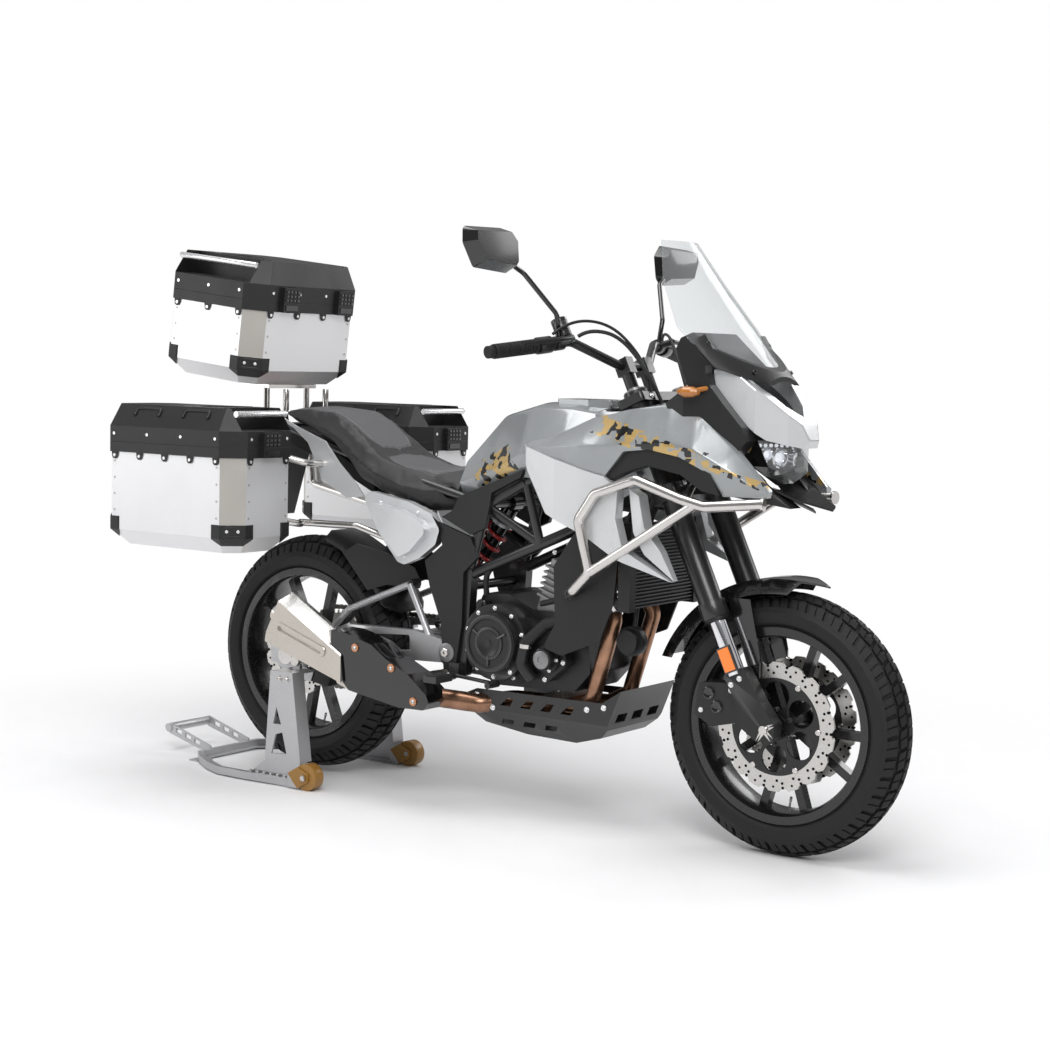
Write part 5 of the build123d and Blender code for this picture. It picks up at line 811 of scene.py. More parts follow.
# Painted highlight: a brighter, smoother copy of the can's brushed steel for its upward faces.
can_roof = surface("can_roof", (0.80, 0.79, 0.77), 0.2, metal=0.95, vary=0.05, grain=90,
                   stretch=(14, 14, 1), bump=0.02)
copper = surface("copper_washer", (0.55, 0.26, 0.14), 0.3, metal=0.9, vary=0.1)


def silencer_finish(c, n):
    """A gloss shield ahead of the can's slanted front edge, and a painted highlight, a brighter copy of the
    can's steel, on the upward faces of its outer side.
    """
    if c.x > 240 + (432 - c.z) * 56 / 134:
        return gloss_black
    return can_roof if n.z > 0.3 and c.y < -151 else None


dress("exhaust_headers", heated_steel)
dress("silencer", can_steel)
paint("silencer", silencer_finish)
shield_at = ((330, 395), (448, 356), (520, 280))
washers = [((x, -240.6, z), (0, -1, 0), 8.2) for x, z in shield_at]
screws("shield_washers", washers, "chassis", copper, sides=20, washer=1.3, rise=0.2,
       mouth=0.9, recess=-0.02)
shield_screws = [((x, -242.4, z), (0, -1, 0), 4.4) for x, z in shield_at]
screws("shield_screws", shield_screws, "chassis", bright_steel)

# ---------------------------------------------------------------- front fork
# Telescopic legs in forged clamps: black outer tubes above, chromed stanchions, and cast feet that carry
# the axle. Turned caps close the tops, rubber seals wipe the stanchions, and a reflector is screwed to
# each foot.
RAKE, LEG_AHEAD, LEG_OUT = math.radians(25), -24, 100
FORK_UP = Vector((-math.sin(RAKE), 0, math.cos(RAKE)))
FORK_AHEAD = Vector((math.cos(RAKE), 0, math.sin(RAKE)))
leg_lean = Matrix.Rotation(-RAKE, 3, "Y")
# Painted light: the reflector's orange glows faintly though it is no lamp; a switch box cap shares it.
reflector_orange = surface("reflector_orange", (0.85, 0.20, 0.02), 0.25, coat=0.6, vary=0.15, grain=900,
                           bump=0.3, glow=0.12)


def by_fork(u, v, w):
    """A place in mm in the fork's own frame: u ahead, v left, w up the legs, from the front axle."""
    return FRONT_HUB + FORK_AHEAD * u + Vector((0, v, 0)) + FORK_UP * w


def foot_finish(c, n):
    """Chromed stanchions and bright axle ends, over cast feet and calipers."""
    d = c - FRONT_HUB
    if d.dot(FORK_UP) > 149 and math.hypot(d.dot(FORK_AHEAD) - LEG_AHEAD, abs(c.y) - LEG_OUT) < 22:
        return chrome
    return bright_steel if math.hypot(d.x, d.z) < 19 and abs(c.y) > 112 else None


dress("fork_upper", frame_black)
dress("fork_lower", cast_black)
paint("fork_lower", foot_finish)
legs, clamp_screws = Build(), []
for way in (-1, 1):
    cap, seal = (by_fork(LEG_AHEAD, way * LEG_OUT, w) for w in (842, 277))
    legs.turned(cap, FORK_UP, [(27, -1), (27, 3), (22, 5), (16, 5), (15, 9), (8, 9)], cast_grey, 24)
    legs.turned(seal, -FORK_UP, [(30, -2), (30, 4), (26, 7), (21.4, 8)], hose_rubber, 28)
    clamp_screws += [(by_fork(12 if w < 700 else 8, way * 90, w), FORK_AHEAD, 4.6) for w in (575, 599, 820)]
    clamp_screws += [(by_fork(-14 - 26 * k, way * 114.2, 128 - 6 * k), (0, way, 0), 5) for k in range(2)]
    legs.block(by_fork(LEG_AHEAD, way * 118, 178), (34, 8, 62), cast_black, leg_lean)
    legs.block(by_fork(LEG_AHEAD, way * 122, 178), (28, 4, 54), reflector_orange, leg_lean)
legs.turned(by_fork(-52, 0, 836), FORK_UP, [(20, 0), (20, 9), (17, 11), (8, 11)], cast_grey, 6)
legs.finish("fork_trim", "fork", "cast_black")
clamp_screws += [(by_fork(-60 + u, v, 942), FORK_UP, 4.2) for u in (-11, 11) for v in (-42, 42)]
screws("clamp_screws", clamp_screws, "fork", bolt_alloy)

# ---------------------------------------------------------------- front brake calipers
# Two-piston calipers cast in aluminium and painted black, on the rear of each foot. Piston caps are turned
# and pressed in, and two bolts hold each body.
CALIPER_FACE = 90.2
pistons, caliper_bolts = Build(), []
for way in (-1, 1):
    for x, z in ((1272, 372), (1294, 342)):
        pistons.turned((x, way * CALIPER_FACE, z), (0, way, 0),
                       [(15, -1), (15, 3), (12, 4.5), (9, 3.2), (3, 3.2)], gloss_black, 24)
    caliper_bolts += [((x, way * CALIPER_FACE, z), (0, way, 0), 4.6) for x, z in ((1330, 384), (1252, 330))]
pistons.finish("caliper_pistons", "fork", "cast_black")
screws("caliper_bolts", caliper_bolts, "fork", bolt_alloy)

# ---------------------------------------------------------------- front fender
# A mudguard moulded in gloss-black plastic. It wraps the front tyre closely and is screwed to the fork
# feet on both sides.
dress("front_fender", gloss_black)

# ---------------------------------------------------------------- handlebar, grips and mirrors
# A bent and tapered tube, black, with moulded rubber grips pushed over its ends. Switch boxes and levers
# clamp round it, and ball-jointed stems carry the mirrors' glass in plastic shells.
GRIP_RIBS = 15
MIRROR_RIM = ((-82, -32), (-67, -46), (57, -39), (86, 10), (82, 43), (-57, 46), (-84, 22))
grip_rubber = surface("grip_rubber", (0.012, 0.012, 0.0125), 0.65, vary=0.15, grain=900, bump=0.4, shine=0.35)
mirror_glass = surface("mirror_glass", (0.86, 0.88, 0.90), 0.03, metal=1.0, vary=0.01, bump=0)
button_red = surface("button_red", (0.45, 0.01, 0.01), 0.3, coat=0.3)
dress("handlebar", frame_black)
dress("mirrors", gloss_black, 2.0)
paint("handlebar", lambda c, n: grip_rubber if abs(c.y) > 288 else None)
bar_bend, bar_end = Vector((-92, 185, 1000)), Vector((-160, 418, 1000))
out_bar = (bar_end - bar_bend).normalized()
ribs, controls = [], Build()
for way in (-1, 1):
    start, end = (bar_bend + out_bar * reach for reach in (116, 228))
    a, b = by_fork(start.x, way * start.y, start.z), by_fork(end.x, way * end.y, end.z)
    ribs += [(a + (b - a) * k / (GRIP_RIBS - 1), (b - a).normalized(), 17.4) for k in range(GRIP_RIBS)]
    box = bar_bend + out_bar * 84
    box = by_fork(box.x, way * box.y, box.z)
    # The orange cap shares the reflector's faint painted glow.
    for k, cap in enumerate((button_red if way < 0 else reflector_orange, gloss_black, gloss_black)):
        controls.block(box + Vector((-21, way * (-8 + 9 * k), 4)), (6, 6, 9), cap)
    turn = Matrix.Rotation(math.radians(-6), 3, "Y")
    middle = by_fork(-84, way * 407, 1221)
    glass = [middle + turn @ Vector((-0.4, way * a, b)) for a, b in MIRROR_RIM]
    controls.plate(glass, turn @ Vector((-0.8, 0, 0)), mirror_glass)
controls.turned(by_fork(-92, -205, 1052), FORK_UP, [(19.6, -4), (19.6, 3), (17, 5), (4, 5)], gloss_black, 24)
controls.finish("bar_controls", "fork", "black_plastic")
screws("grip_ribs", ribs, "fork", grip_rubber, sides=20, washer=0.98, rise=0.2, mouth=0.9,
       recess=-0.02)

# ---------------------------------------------------------------- brake hose and control cables
# A rubber brake hose and two steel cables in plastic sleeves. Each leaves a lever, bends down in front of
# the top clamp and ends in its stop on the lower clamp.
LEVER_RUN = ((-66, 188, 1002), (-44, 166, 1012), (2, 112, 972), (16, 70, 850), (10, 54, 720), (2, 50, 612))
THROTTLE_RUN = ((-88, -256, 1016), (-56, -214, 1040), (-6, -130, 1010), (14, -84, 920), (2, -66, 860),
                (-6, -66, 833))


def cable(name, points, diameter):
    """A sleeved cable on one smooth curve that runs from its lever to its stop."""
    def curve(label, thick):
        data = bpy.data.curves.new(label, "CURVE")
        data.dimensions = "3D"
        run = data.splines.new("NURBS")
        run.points.add(len(points) - 1)
        for point, at in zip(run.points, points):
            point.co = (*place(at), 1)
        run.order_u = 3
        run.use_endpoint_u = True
        data.resolution_u = 12
        data.bevel_depth = thick / 2000
        data.bevel_resolution = 3
        data.use_fill_caps = True
        data.materials.append(hose_rubber)
        return in_scene(label, data)

    bare = curve(name + "_line", 0)
    line = bpy.data.meshes.new_from_object(bare)
    bpy.data.objects.remove(bare)
    piece = curve(name, diameter)
    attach(piece, "fork")


cable("brake_hose", [by_fork(u, -v, w) for u, v, w in LEVER_RUN], 9.2)
cable("throttle_cables", [by_fork(*at) for at in THROTTLE_RUN], 7.2)
cable("clutch_cable", [by_fork(*at) for at in LEVER_RUN], 7.2)

# ---------------------------------------------------------------- fuel tank
# Pressed from steel sheet, seam-welded, and painted metallic grey under clear lacquer. Broken blocks of gold
# and black are masked and sprayed on its flanks and on the beak's sides.
BLOCK_GRAIN, RAGGED = 62, 0.35         # how small the blocks are, and how far they eat into a patch's edge
SPRAYED = ((668, 868, 74, 40, -27), (1150, 948, 178, 24, 14), (1372, 882, 70, 10, 20))
GOLD, INK = (0.50, 0.34, 0.12), (0.012, 0.012, 0.013)
tank_grey = surface("tank_grey", (0.30, 0.315, 0.32), 0.24, metal=0.4, coat=0.7, vary=0.05, grain=2500,
                    bump=0.02)


def spray_blocks(paint_of, patches):
    """Broken gold and black blocks over a paint, in turned boxes: middle, half sizes in mm, and degrees."""
    tree = paint_of.node_tree
    skin = tree.nodes["Principled BSDF"]
    under = skin.inputs["Base Color"].links[0].from_socket
    coords = put(tree, "ShaderNodeTexCoord", {})
    cells = put(tree, "ShaderNodeTexVoronoi", {"Vector": coords["Object"], "Scale": BLOCK_GRAIN},
                distance="CHEBYCHEV")
    chance = put(tree, "ShaderNodeSeparateXYZ", {0: cells["Color"]})

    def reckon(kind, a, b=0.0):
        return put(tree, "ShaderNodeMath", {0: a, 1: b}, operation=kind)["Value"]

    masked = None
    for x, z, half_long, half_high, turn in patches:
        local = put(tree, "ShaderNodeMapping",
                    {"Vector": coords["Object"], "Location": place((x, 0, z)),
                     "Rotation": (0, math.radians(turn), 0),
                     "Scale": (half_long / 1000, 1, half_high / 1000)}, vector_type="TEXTURE")
        split = put(tree, "ShaderNodeSeparateXYZ", {0: local["Vector"]})
        reach = reckon("MAXIMUM", reckon("ABSOLUTE", split["X"]), reckon("ABSOLUTE", split["Z"]))
        ragged = reckon("ADD", reach, reckon("MULTIPLY", chance["Z"], RAGGED))
        here = reckon("LESS_THAN", ragged, 1.0)
        masked = here if masked is None else reckon("MAXIMUM", masked, here)
    for color, low, high in ((GOLD, 0.0, 0.52), (INK, 0.52, 0.86)):
        band = reckon("MULTIPLY", reckon("GREATER_THAN", chance["X"], low),
                      reckon("LESS_THAN", chance["X"], high))
        under = put(tree, "ShaderNodeMix",
                    {"Factor": reckon("MULTIPLY", masked, band), "A": under, "B": (*color, 1)},
                    data_type="RGBA")["Result"]
    tree.links.new(under, skin.inputs["Base Color"])


spray_blocks(tank_grey, SPRAYED)
dress("fuel_tank", tank_grey, 4.0)

# ---------------------------------------------------------------- side blades and black infill panels
# The blades are moulded in plastic and painted silver. They slot over black, grained panels that close the
# gap between tank, radiator and nose.
silver_paint = surface("silver_paint", (0.60, 0.61, 0.62), 0.30, metal=0.4, coat=0.5, vary=0.04, grain=2500,
                       bump=0.02)
dress("side_blades", silver_paint, 3.0)
dress("infill_panels", black_plastic)

# ---------------------------------------------------------------- nose cowl and headlight
# A silver beak moulded in plastic, over a clear polycarbonate lens. Behind the lens a pair of chromed cups
# and a bar of small lights stand in a black bowl. The turn signals are amber, on short stalks.
LAMP_CUPS = ((1404, 34, 922, 21), (1388, 66, 930, 15))      # place of a cup on the left, and its radius


def clear_sheet(name, color, see):
    """A thin clear sheet: mostly seen through, with a glint at a shallow angle."""
    sheet = bpy.data.materials.new(name)
    sheet.use_nodes = True
    tree = sheet.node_tree
    tree.nodes.remove(tree.nodes["Principled BSDF"])
    through = put(tree, "ShaderNodeBsdfTransparent", {"Color": (*color, 1)})
    skin = put(tree, "ShaderNodeBsdfPrincipled",
               {"Base Color": (*(0.45 * c for c in color), 1), "Roughness": 0.02, "Specular IOR Level": 0.8})
    slant = put(tree, "ShaderNodeLayerWeight", {"Blend": 0.25})
    coords = put(tree, "ShaderNodeTexCoord", {})
    haze = put(tree, "ShaderNodeTexNoise", {"Vector": coords["Object"], "Scale": 6.0})
    thin = put(tree, "ShaderNodeMapRange",
               {"Value": haze["Fac"], "To Min": 1 - see, "To Max": 1 - see + 0.05})
    total = put(tree, "ShaderNodeMath", {0: slant["Facing"], 1: 0.38, 2: thin["Result"]},
                operation="MULTIPLY_ADD", use_clamp=True)
    both = put(tree, "ShaderNodeMixShader", {"Fac": total["Value"], 1: through["BSDF"], 2: skin["BSDF"]})
    tree.links.new(both["Shader"], tree.nodes["Material Output"].inputs["Surface"])
    return sheet


lamp_lens = clear_sheet("lamp_lens", (0.96, 0.97, 0.98), 0.82)
signal_amber = surface("signal_amber", (0.42, 0.15, 0.02), 0.18, coat=0.7, vary=0.15, grain=700, bump=0.25)
lamp_white = surface("lamp_white", (0.92, 0.95, 1.0), 0.15, coat=0.5, glow=0.5, bump=0)
dress("nose_cowl", silver_paint, 3.0)
dress("headlight", lamp_lens)


def lamp_finish(c, n):
    """Amber signals above on black stalks, and a black bowl behind the clear lens."""
    if c.z > 1030:
        return signal_amber if abs(c.y) > 150 else gloss_black
    lens_side = abs(n.y) > 0.5 and c.x > 1384
    return gloss_black if n.x < 0.3 and not lens_side else None


paint("headlight", lamp_finish)
cups = Build()
for way in (-1, 1):
    for x, y, z, r in LAMP_CUPS:
        at, aim = Vector((x, way * y, z)), Vector((1, way * 0.35, -0.1))
        bowl = [(r, -16), (r + 3, 4), (r - 1, 6), (r - 3, 1), (r * 0.35, -10), (2, -10)]
        cups.turned(at, aim, bowl, chrome, 24)
        cups.turned(at - aim * 4, aim, [(r * 0.55, 0), (r * 0.55, 4), (r * 0.3, 8), (1, 9)], lamp_white, 20)
cups.finish("lamp_cups", "chassis", "lamp_clear")
small_lights = [((1412 - 7 * k, way * (12 + 13 * k), 950), (0.82, way * 0.57, 0), 4.2)
                for way in (-1, 1) for k in range(6)]
screws("lamp_lights", small_lights, "chassis", lamp_white, sides=6, washer=1.1, rise=0.5,
       mouth=0.7, recess=0.15)
cowl_at = [((x + 9, way * (y + 4), z + 8), (0.75, way * 0.4, 0.5), 5) for way in (-1, 1)
           for x, y, z in ((1296, 118, 1140), (1352, 84, 1106), (1262, 140, 1168))]
screws("cowl_screws", cowl_at, "chassis", gloss_black)

# ---------------------------------------------------------------- windscreen and dash
# The screen is cut from clear acrylic, heat-bent and screwed to a seat with moulded slots. Behind it the
# dash carries a flat glass display in a black plastic frame.
screen_clear = clear_sheet("screen_clear", (0.94, 0.955, 0.96), 0.93)
display_glass = surface("display_glass", (0.008, 0.009, 0.012), 0.06, coat=0.8, bump=0)
dress("windscreen", screen_clear, 0.8)
dress("dash", black_plastic)
display = Build()
corners = [(1188, -78, 1096), (1162, -78, 1178), (1162, 78, 1178), (1188, 78, 1096)]
display.plate(corners, (-1.2, 0, -0.6), display_glass)
display.finish("dash_glass", "chassis", "black_plastic")
slots = [[(1276 + 11 * k, way * (112 - 9 * k), 1118 - 12 * k),
          (1268 + 11 * k, way * (90 - 8 * k), 1112 - 12 * k)] for way in (-1, 1) for k in range(6)]
piping("screen_slots", slots, 2.0, "chassis", gloss_black, sides=6, steps=1)

# ---------------------------------------------------------------- crash bars
# Stainless tube, bent cold and welded with a stay on each side, ground along its length and bolted to the
# frame at three places. Its open ends are capped.
dress("crash_bars", bright_steel, 0.8)

# ---------------------------------------------------------------- seat
# Moulded foam on a plastic pan under stretched vinyl: dark sides, and a grey pad on top that is sewn in
# with a sunk seam and a row of stitches on each side of it.
SEAT_VOXEL, SEAT_LET_IN, CLOTH_REACH = 0.0055, 0.0045, 0.006
SEAM_SINK, SEAM_HALF = 0.002, 7
PAD_EDGE = ((-60, 0), (-40, 66), (30, 78), (120, 80), (180, 82), (232, 78), (262, 60), (270, 0),
            (282, 0), (292, 70), (330, 92), (400, 96), (460, 86), (520, 66), (556, 40), (575, 0))
seat_vinyl = surface("seat_vinyl", (0.022, 0.022, 0.023), 0.5, vary=0.12, grain=900, bump=0.5, shine=0.4)
pad_vinyl = surface("pad_vinyl", (0.085, 0.085, 0.088), 0.55, vary=0.1, grain=1400, bump=0.5, shine=0.4)
thread_grey = surface("thread_grey", (0.20, 0.20, 0.205), 0.7, vary=0.2, grain=2600, bump=0.4)


def pad_half(x):
    """Half the width of the seat's grey pad at a station in mm."""
    for (x0, h0), (x1, h1) in zip(PAD_EDGE, PAD_EDGE[1:]):
        if x0 <= x <= x1:
            return h0 + (h1 - h0) * (x - x0) / (x1 - x0)
    return 0


def baked(piece, kind, **values):
    """Applies one modifier to a piece's mesh."""
    mod = piece.modifiers.new(kind, kind)
    for label, value in values.items():
        setattr(mod, label, value)
    made = as_made(piece)
    piece.modifiers.clear()
    piece.data = made


source = bpy.data.meshes.new_from_object(NODES["seat"])
form = bmesh.new()
form.from_mesh(source)
bmesh.ops.remove_doubles(form, verts=form.verts, dist=0.00005)
form.to_mesh(source)
form.free()
cover = in_scene("seat_cover", source)
baked(cover, "REMESH", mode="VOXEL", voxel_size=SEAT_VOXEL)
baked(cover, "DISPLACE", strength=-SEAT_LET_IN, mid_level=0.0)
baked(cover, "SMOOTH", factor=0.5, iterations=6)
start = [v.co.copy() for v in cover.data.vertices]
cloth = cover.modifiers.new("cloth", "CLOTH")
cloth.settings.use_pressure = True
cloth.settings.uniform_pressure_force = 4
cloth.settings.effector_weights.gravity = 0
cloth.settings.tension_stiffness = 30
cloth.settings.compression_stiffness = 30
for step in range(1, 21):
    bpy.context.scene.frame_set(step)
grown = as_made(cover)
bpy.context.scene.frame_set(1)
cover.modifiers.clear()
cover.data = grown
for vertex, at in zip(grown.vertices, start):
    move = vertex.co - at
    vertex.co = at + move * min(1.0, CLOTH_REACH / max(move.length, 1e-9))
baked(cover, "SMOOTH", factor=0.5, iterations=2)
baked(cover, "SUBSURF", levels=1, render_levels=1)
skin, sunk = cover.data, []
for vertex in skin.vertices:           # the seam pulls the cover in all round the pad
    x, y, depth = vertex.co.x * 1000 + REAR_AXLE_AHEAD, abs(vertex.co.y) * 1000, 0.0
    if vertex.normal.z > 0.35 and -62 < x < 577 and abs(y - pad_half(x)) < 45:
        off = min(math.hypot(x - near, y - pad_half(near)) for near in range(int(x) - 12, int(x) + 13, 4))
        depth = SEAM_SINK * max(0.0, 1 - (off / SEAM_HALF) ** 2)
    sunk.append(vertex.co - vertex.normal * depth)
for vertex, at in zip(skin.vertices, sunk):
    vertex.co = at
skin.materials.clear()
skin.materials.append(seat_vinyl)
skin.materials.append(pad_vinyl)
for face in skin.polygons:
    c = face.center
    inside = abs(c.y) * 1000 < pad_half(c.x * 1000 + REAR_AXLE_AHEAD)
    face.material_index = 1 if face.normal.z > 0.4 and inside else 0
skin.shade_smooth()
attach(cover, "chassis")
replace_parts(cover, "seat")


def stitch_tree():
    """Lays short stitches of thread end to end along strings of edges."""
    tree, given, result = new_tree("stitches", Pitch="Float", Stitch="Float", Thread="Float",
                                   Finish="Material")
    line = put(tree, "GeometryNodeMeshToCurve", {"Mesh": given["Geometry"]})
    even = put(tree, "GeometryNodeResampleCurve", {"Curve": line["Curve"], "Length": given["Pitch"]},
               mode="LENGTH")
    ahead = put(tree, "GeometryNodeInputTangent", {})
    facing = put(tree, "FunctionNodeAlignRotationToVector", {"Vector": ahead["Tangent"]}, axis="Z")
    thread = put(tree, "GeometryNodeMeshCylinder",
                 {"Vertices": 6, "Radius": given["Thread"], "Depth": given["Stitch"]})
    copies = put(tree, "GeometryNodeInstanceOnPoints",
                 {"Points": even["Curve"], "Instance": thread["Mesh"], "Rotation": facing["Rotation"]})
    return end_tree(tree, copies["Instances"], given, result)


sewn = BVHTree.FromPolygons([v.co for v in skin.vertices], [p.vertices for p in skin.polygons])
rows = []
for way in (-1, 1):
    for beyond in (-5.5, 5.5):
        for first, last in ((-38, 258), (294, 554)):
            row = []
            for x in range(first, last, 8):
                above = place((x, way * (pad_half(x) + beyond), 1200))
                hit = sewn.ray_cast(above, Vector((0, 0, -1)))[0]
                if hit is not None:
                    row.append(Vector((hit.x * 1000 + REAR_AXLE_AHEAD, hit.y * 1000, hit.z * 1000 + 0.2)))
            rows.append(row)
stitches = grow(stitch_tree(), strings_mesh(rows), Pitch=0.0075, Stitch=0.005, Thread=0.0006,
                Finish=thread_grey)
settle("seat_stitches", stitches, "chassis", 60)

# ---------------------------------------------------------------- side covers and tail
# Side covers moulded in plastic, the outer faces painted silver and the knee panels left black. The tail
# carries a red rear lamp, amber turn signals and the number plate's hanger.
lamp_red = surface("lamp_red", (0.42, 0.008, 0.008), 0.18, coat=0.6, grain=700, bump=0.2)
dress("side_covers", silver_paint, 3.0)
dress("tail_unit", black_plastic)


def cover_finish(c, n):
    """The knee panels, which lie below the painted faces, stay black."""
    low = 132 < abs(c.y) < 143 and c.x > 466 and c.z < 725
    return black_plastic if low or (132 < abs(c.y) < 147 and c.x > 523) else None


def tail_finish(c, n):
    """The rear lamp's red lens in the middle, and amber signals at the ends."""
    if c.x < -86 and abs(c.y) < 62 and c.z > 894:
        return lamp_red
    return signal_amber if abs(c.y) > 136 else None


paint("side_covers", cover_finish)
paint("tail_unit", tail_finish)

# ---------------------------------------------------------------- luggage rack
# Round stainless bar, bent and welded into a frame that carries the three cases. It is bolted to the
# subframe behind the seat.
dress("luggage_rack", bright_steel, 0.8)

# ---------------------------------------------------------------- aluminium cases
# Three boxes folded and riveted from sheet aluminium, with anodised corner posts. Black nylon guards cap
# the corners, a screwed rim holds each hinged lid, and latches with gripped faces shut it. A bright bar
# lies in the lid's pocket.
CASE_TILT, TOP_CASE_X, TOP_CASE_Z = math.radians(6.5), -242, 1062
PANNIER_X, PANNIER_OUT, PANNIER_Z = -90, 374, 630
TOP_CASE, PANNIER = (340, 430, 224), (472, 246, 266)       # long, wide and deep, in mm
FOOT_BEND, CORNER_CUT = 40, 46.0       # height of a box's sloping foot, and width of its cut corners
case_sheet = surface("case_sheet", (0.74, 0.74, 0.75), 0.36, metal=0.6, vary=0.05, grain=160,
                     stretch=(1, 1, 14), bump=0.05)
case_post = surface("case_post", (0.46, 0.44, 0.41), 0.38, metal=0.7, vary=0.06, grain=160,
                    stretch=(1, 1, 14), bump=0.05)


def top_case_at(x, y, z):
    """A place in the top case's own frame, from the middle of its floor, in mm of the whole bike."""
    return Vector((TOP_CASE_X + x * math.cos(CASE_TILT) + z * math.sin(CASE_TILT), y,
                   TOP_CASE_Z - x * math.sin(CASE_TILT) + z * math.cos(CASE_TILT)))


def in_top_case(c):
    """The way back: a place on the bike in the top case's own frame."""
    dx, dz = c.x - TOP_CASE_X, c.z - TOP_CASE_Z
    return Vector((dx * math.cos(CASE_TILT) - dz * math.sin(CASE_TILT), c.y,
                   dx * math.sin(CASE_TILT) + dz * math.cos(CASE_TILT)))


def pannier_at(side):
    """The same for a pannier, whose own y runs outwards."""
    return lambda x, y, z: Vector((PANNIER_X + x, side * (PANNIER_OUT + y), PANNIER_Z + z))


def in_pannier(side):
    """The way back for a pannier."""
    return lambda c: Vector((c.x - PANNIER_X, side * c.y - PANNIER_OUT, c.z - PANNIER_Z))


def paint_case(box, lid, inside, size, bar_at):
    """Sheet walls, anodised posts, black guards and rim, and the lid's bright bar."""
    long, wide, deep = size

    def box_finish(c, n):
        p = inside(c)
        x, y, half_x, half_y, corner = abs(p.x), abs(p.y), long / 2, wide / 2, CORNER_CUT
        if p.z < FOOT_BEND:
            half_x, half_y = half_x - FOOT_BEND + p.z, half_y - FOOT_BEND + p.z
            corner = 32 + 14 * p.z / FOOT_BEND
        proud = max(x - half_x, y - half_y, (x + y - half_x - half_y + corner) / math.sqrt(2))
        if p.z > deep - 26.5 or (p.z < 75 and proud > 0.8) or (proud < -1.5 and p.z > 3.2):
            return black_plastic
        return case_post if min(abs(n.x), abs(n.y)) > 0.35 and abs(n.z) < 0.75 else None

    def lid_finish(c, n):
        p = inside(c)
        off = math.hypot(p.y - bar_at[1] if bar_at[1] else p.x - bar_at[0], p.z - bar_at[2])
        return bolt_alloy if off < 9 else None

    dress(box, case_sheet, 1.6)
    dress(lid, black_plastic, 2.2)
    paint(box, box_finish)
    paint(lid, lid_finish)


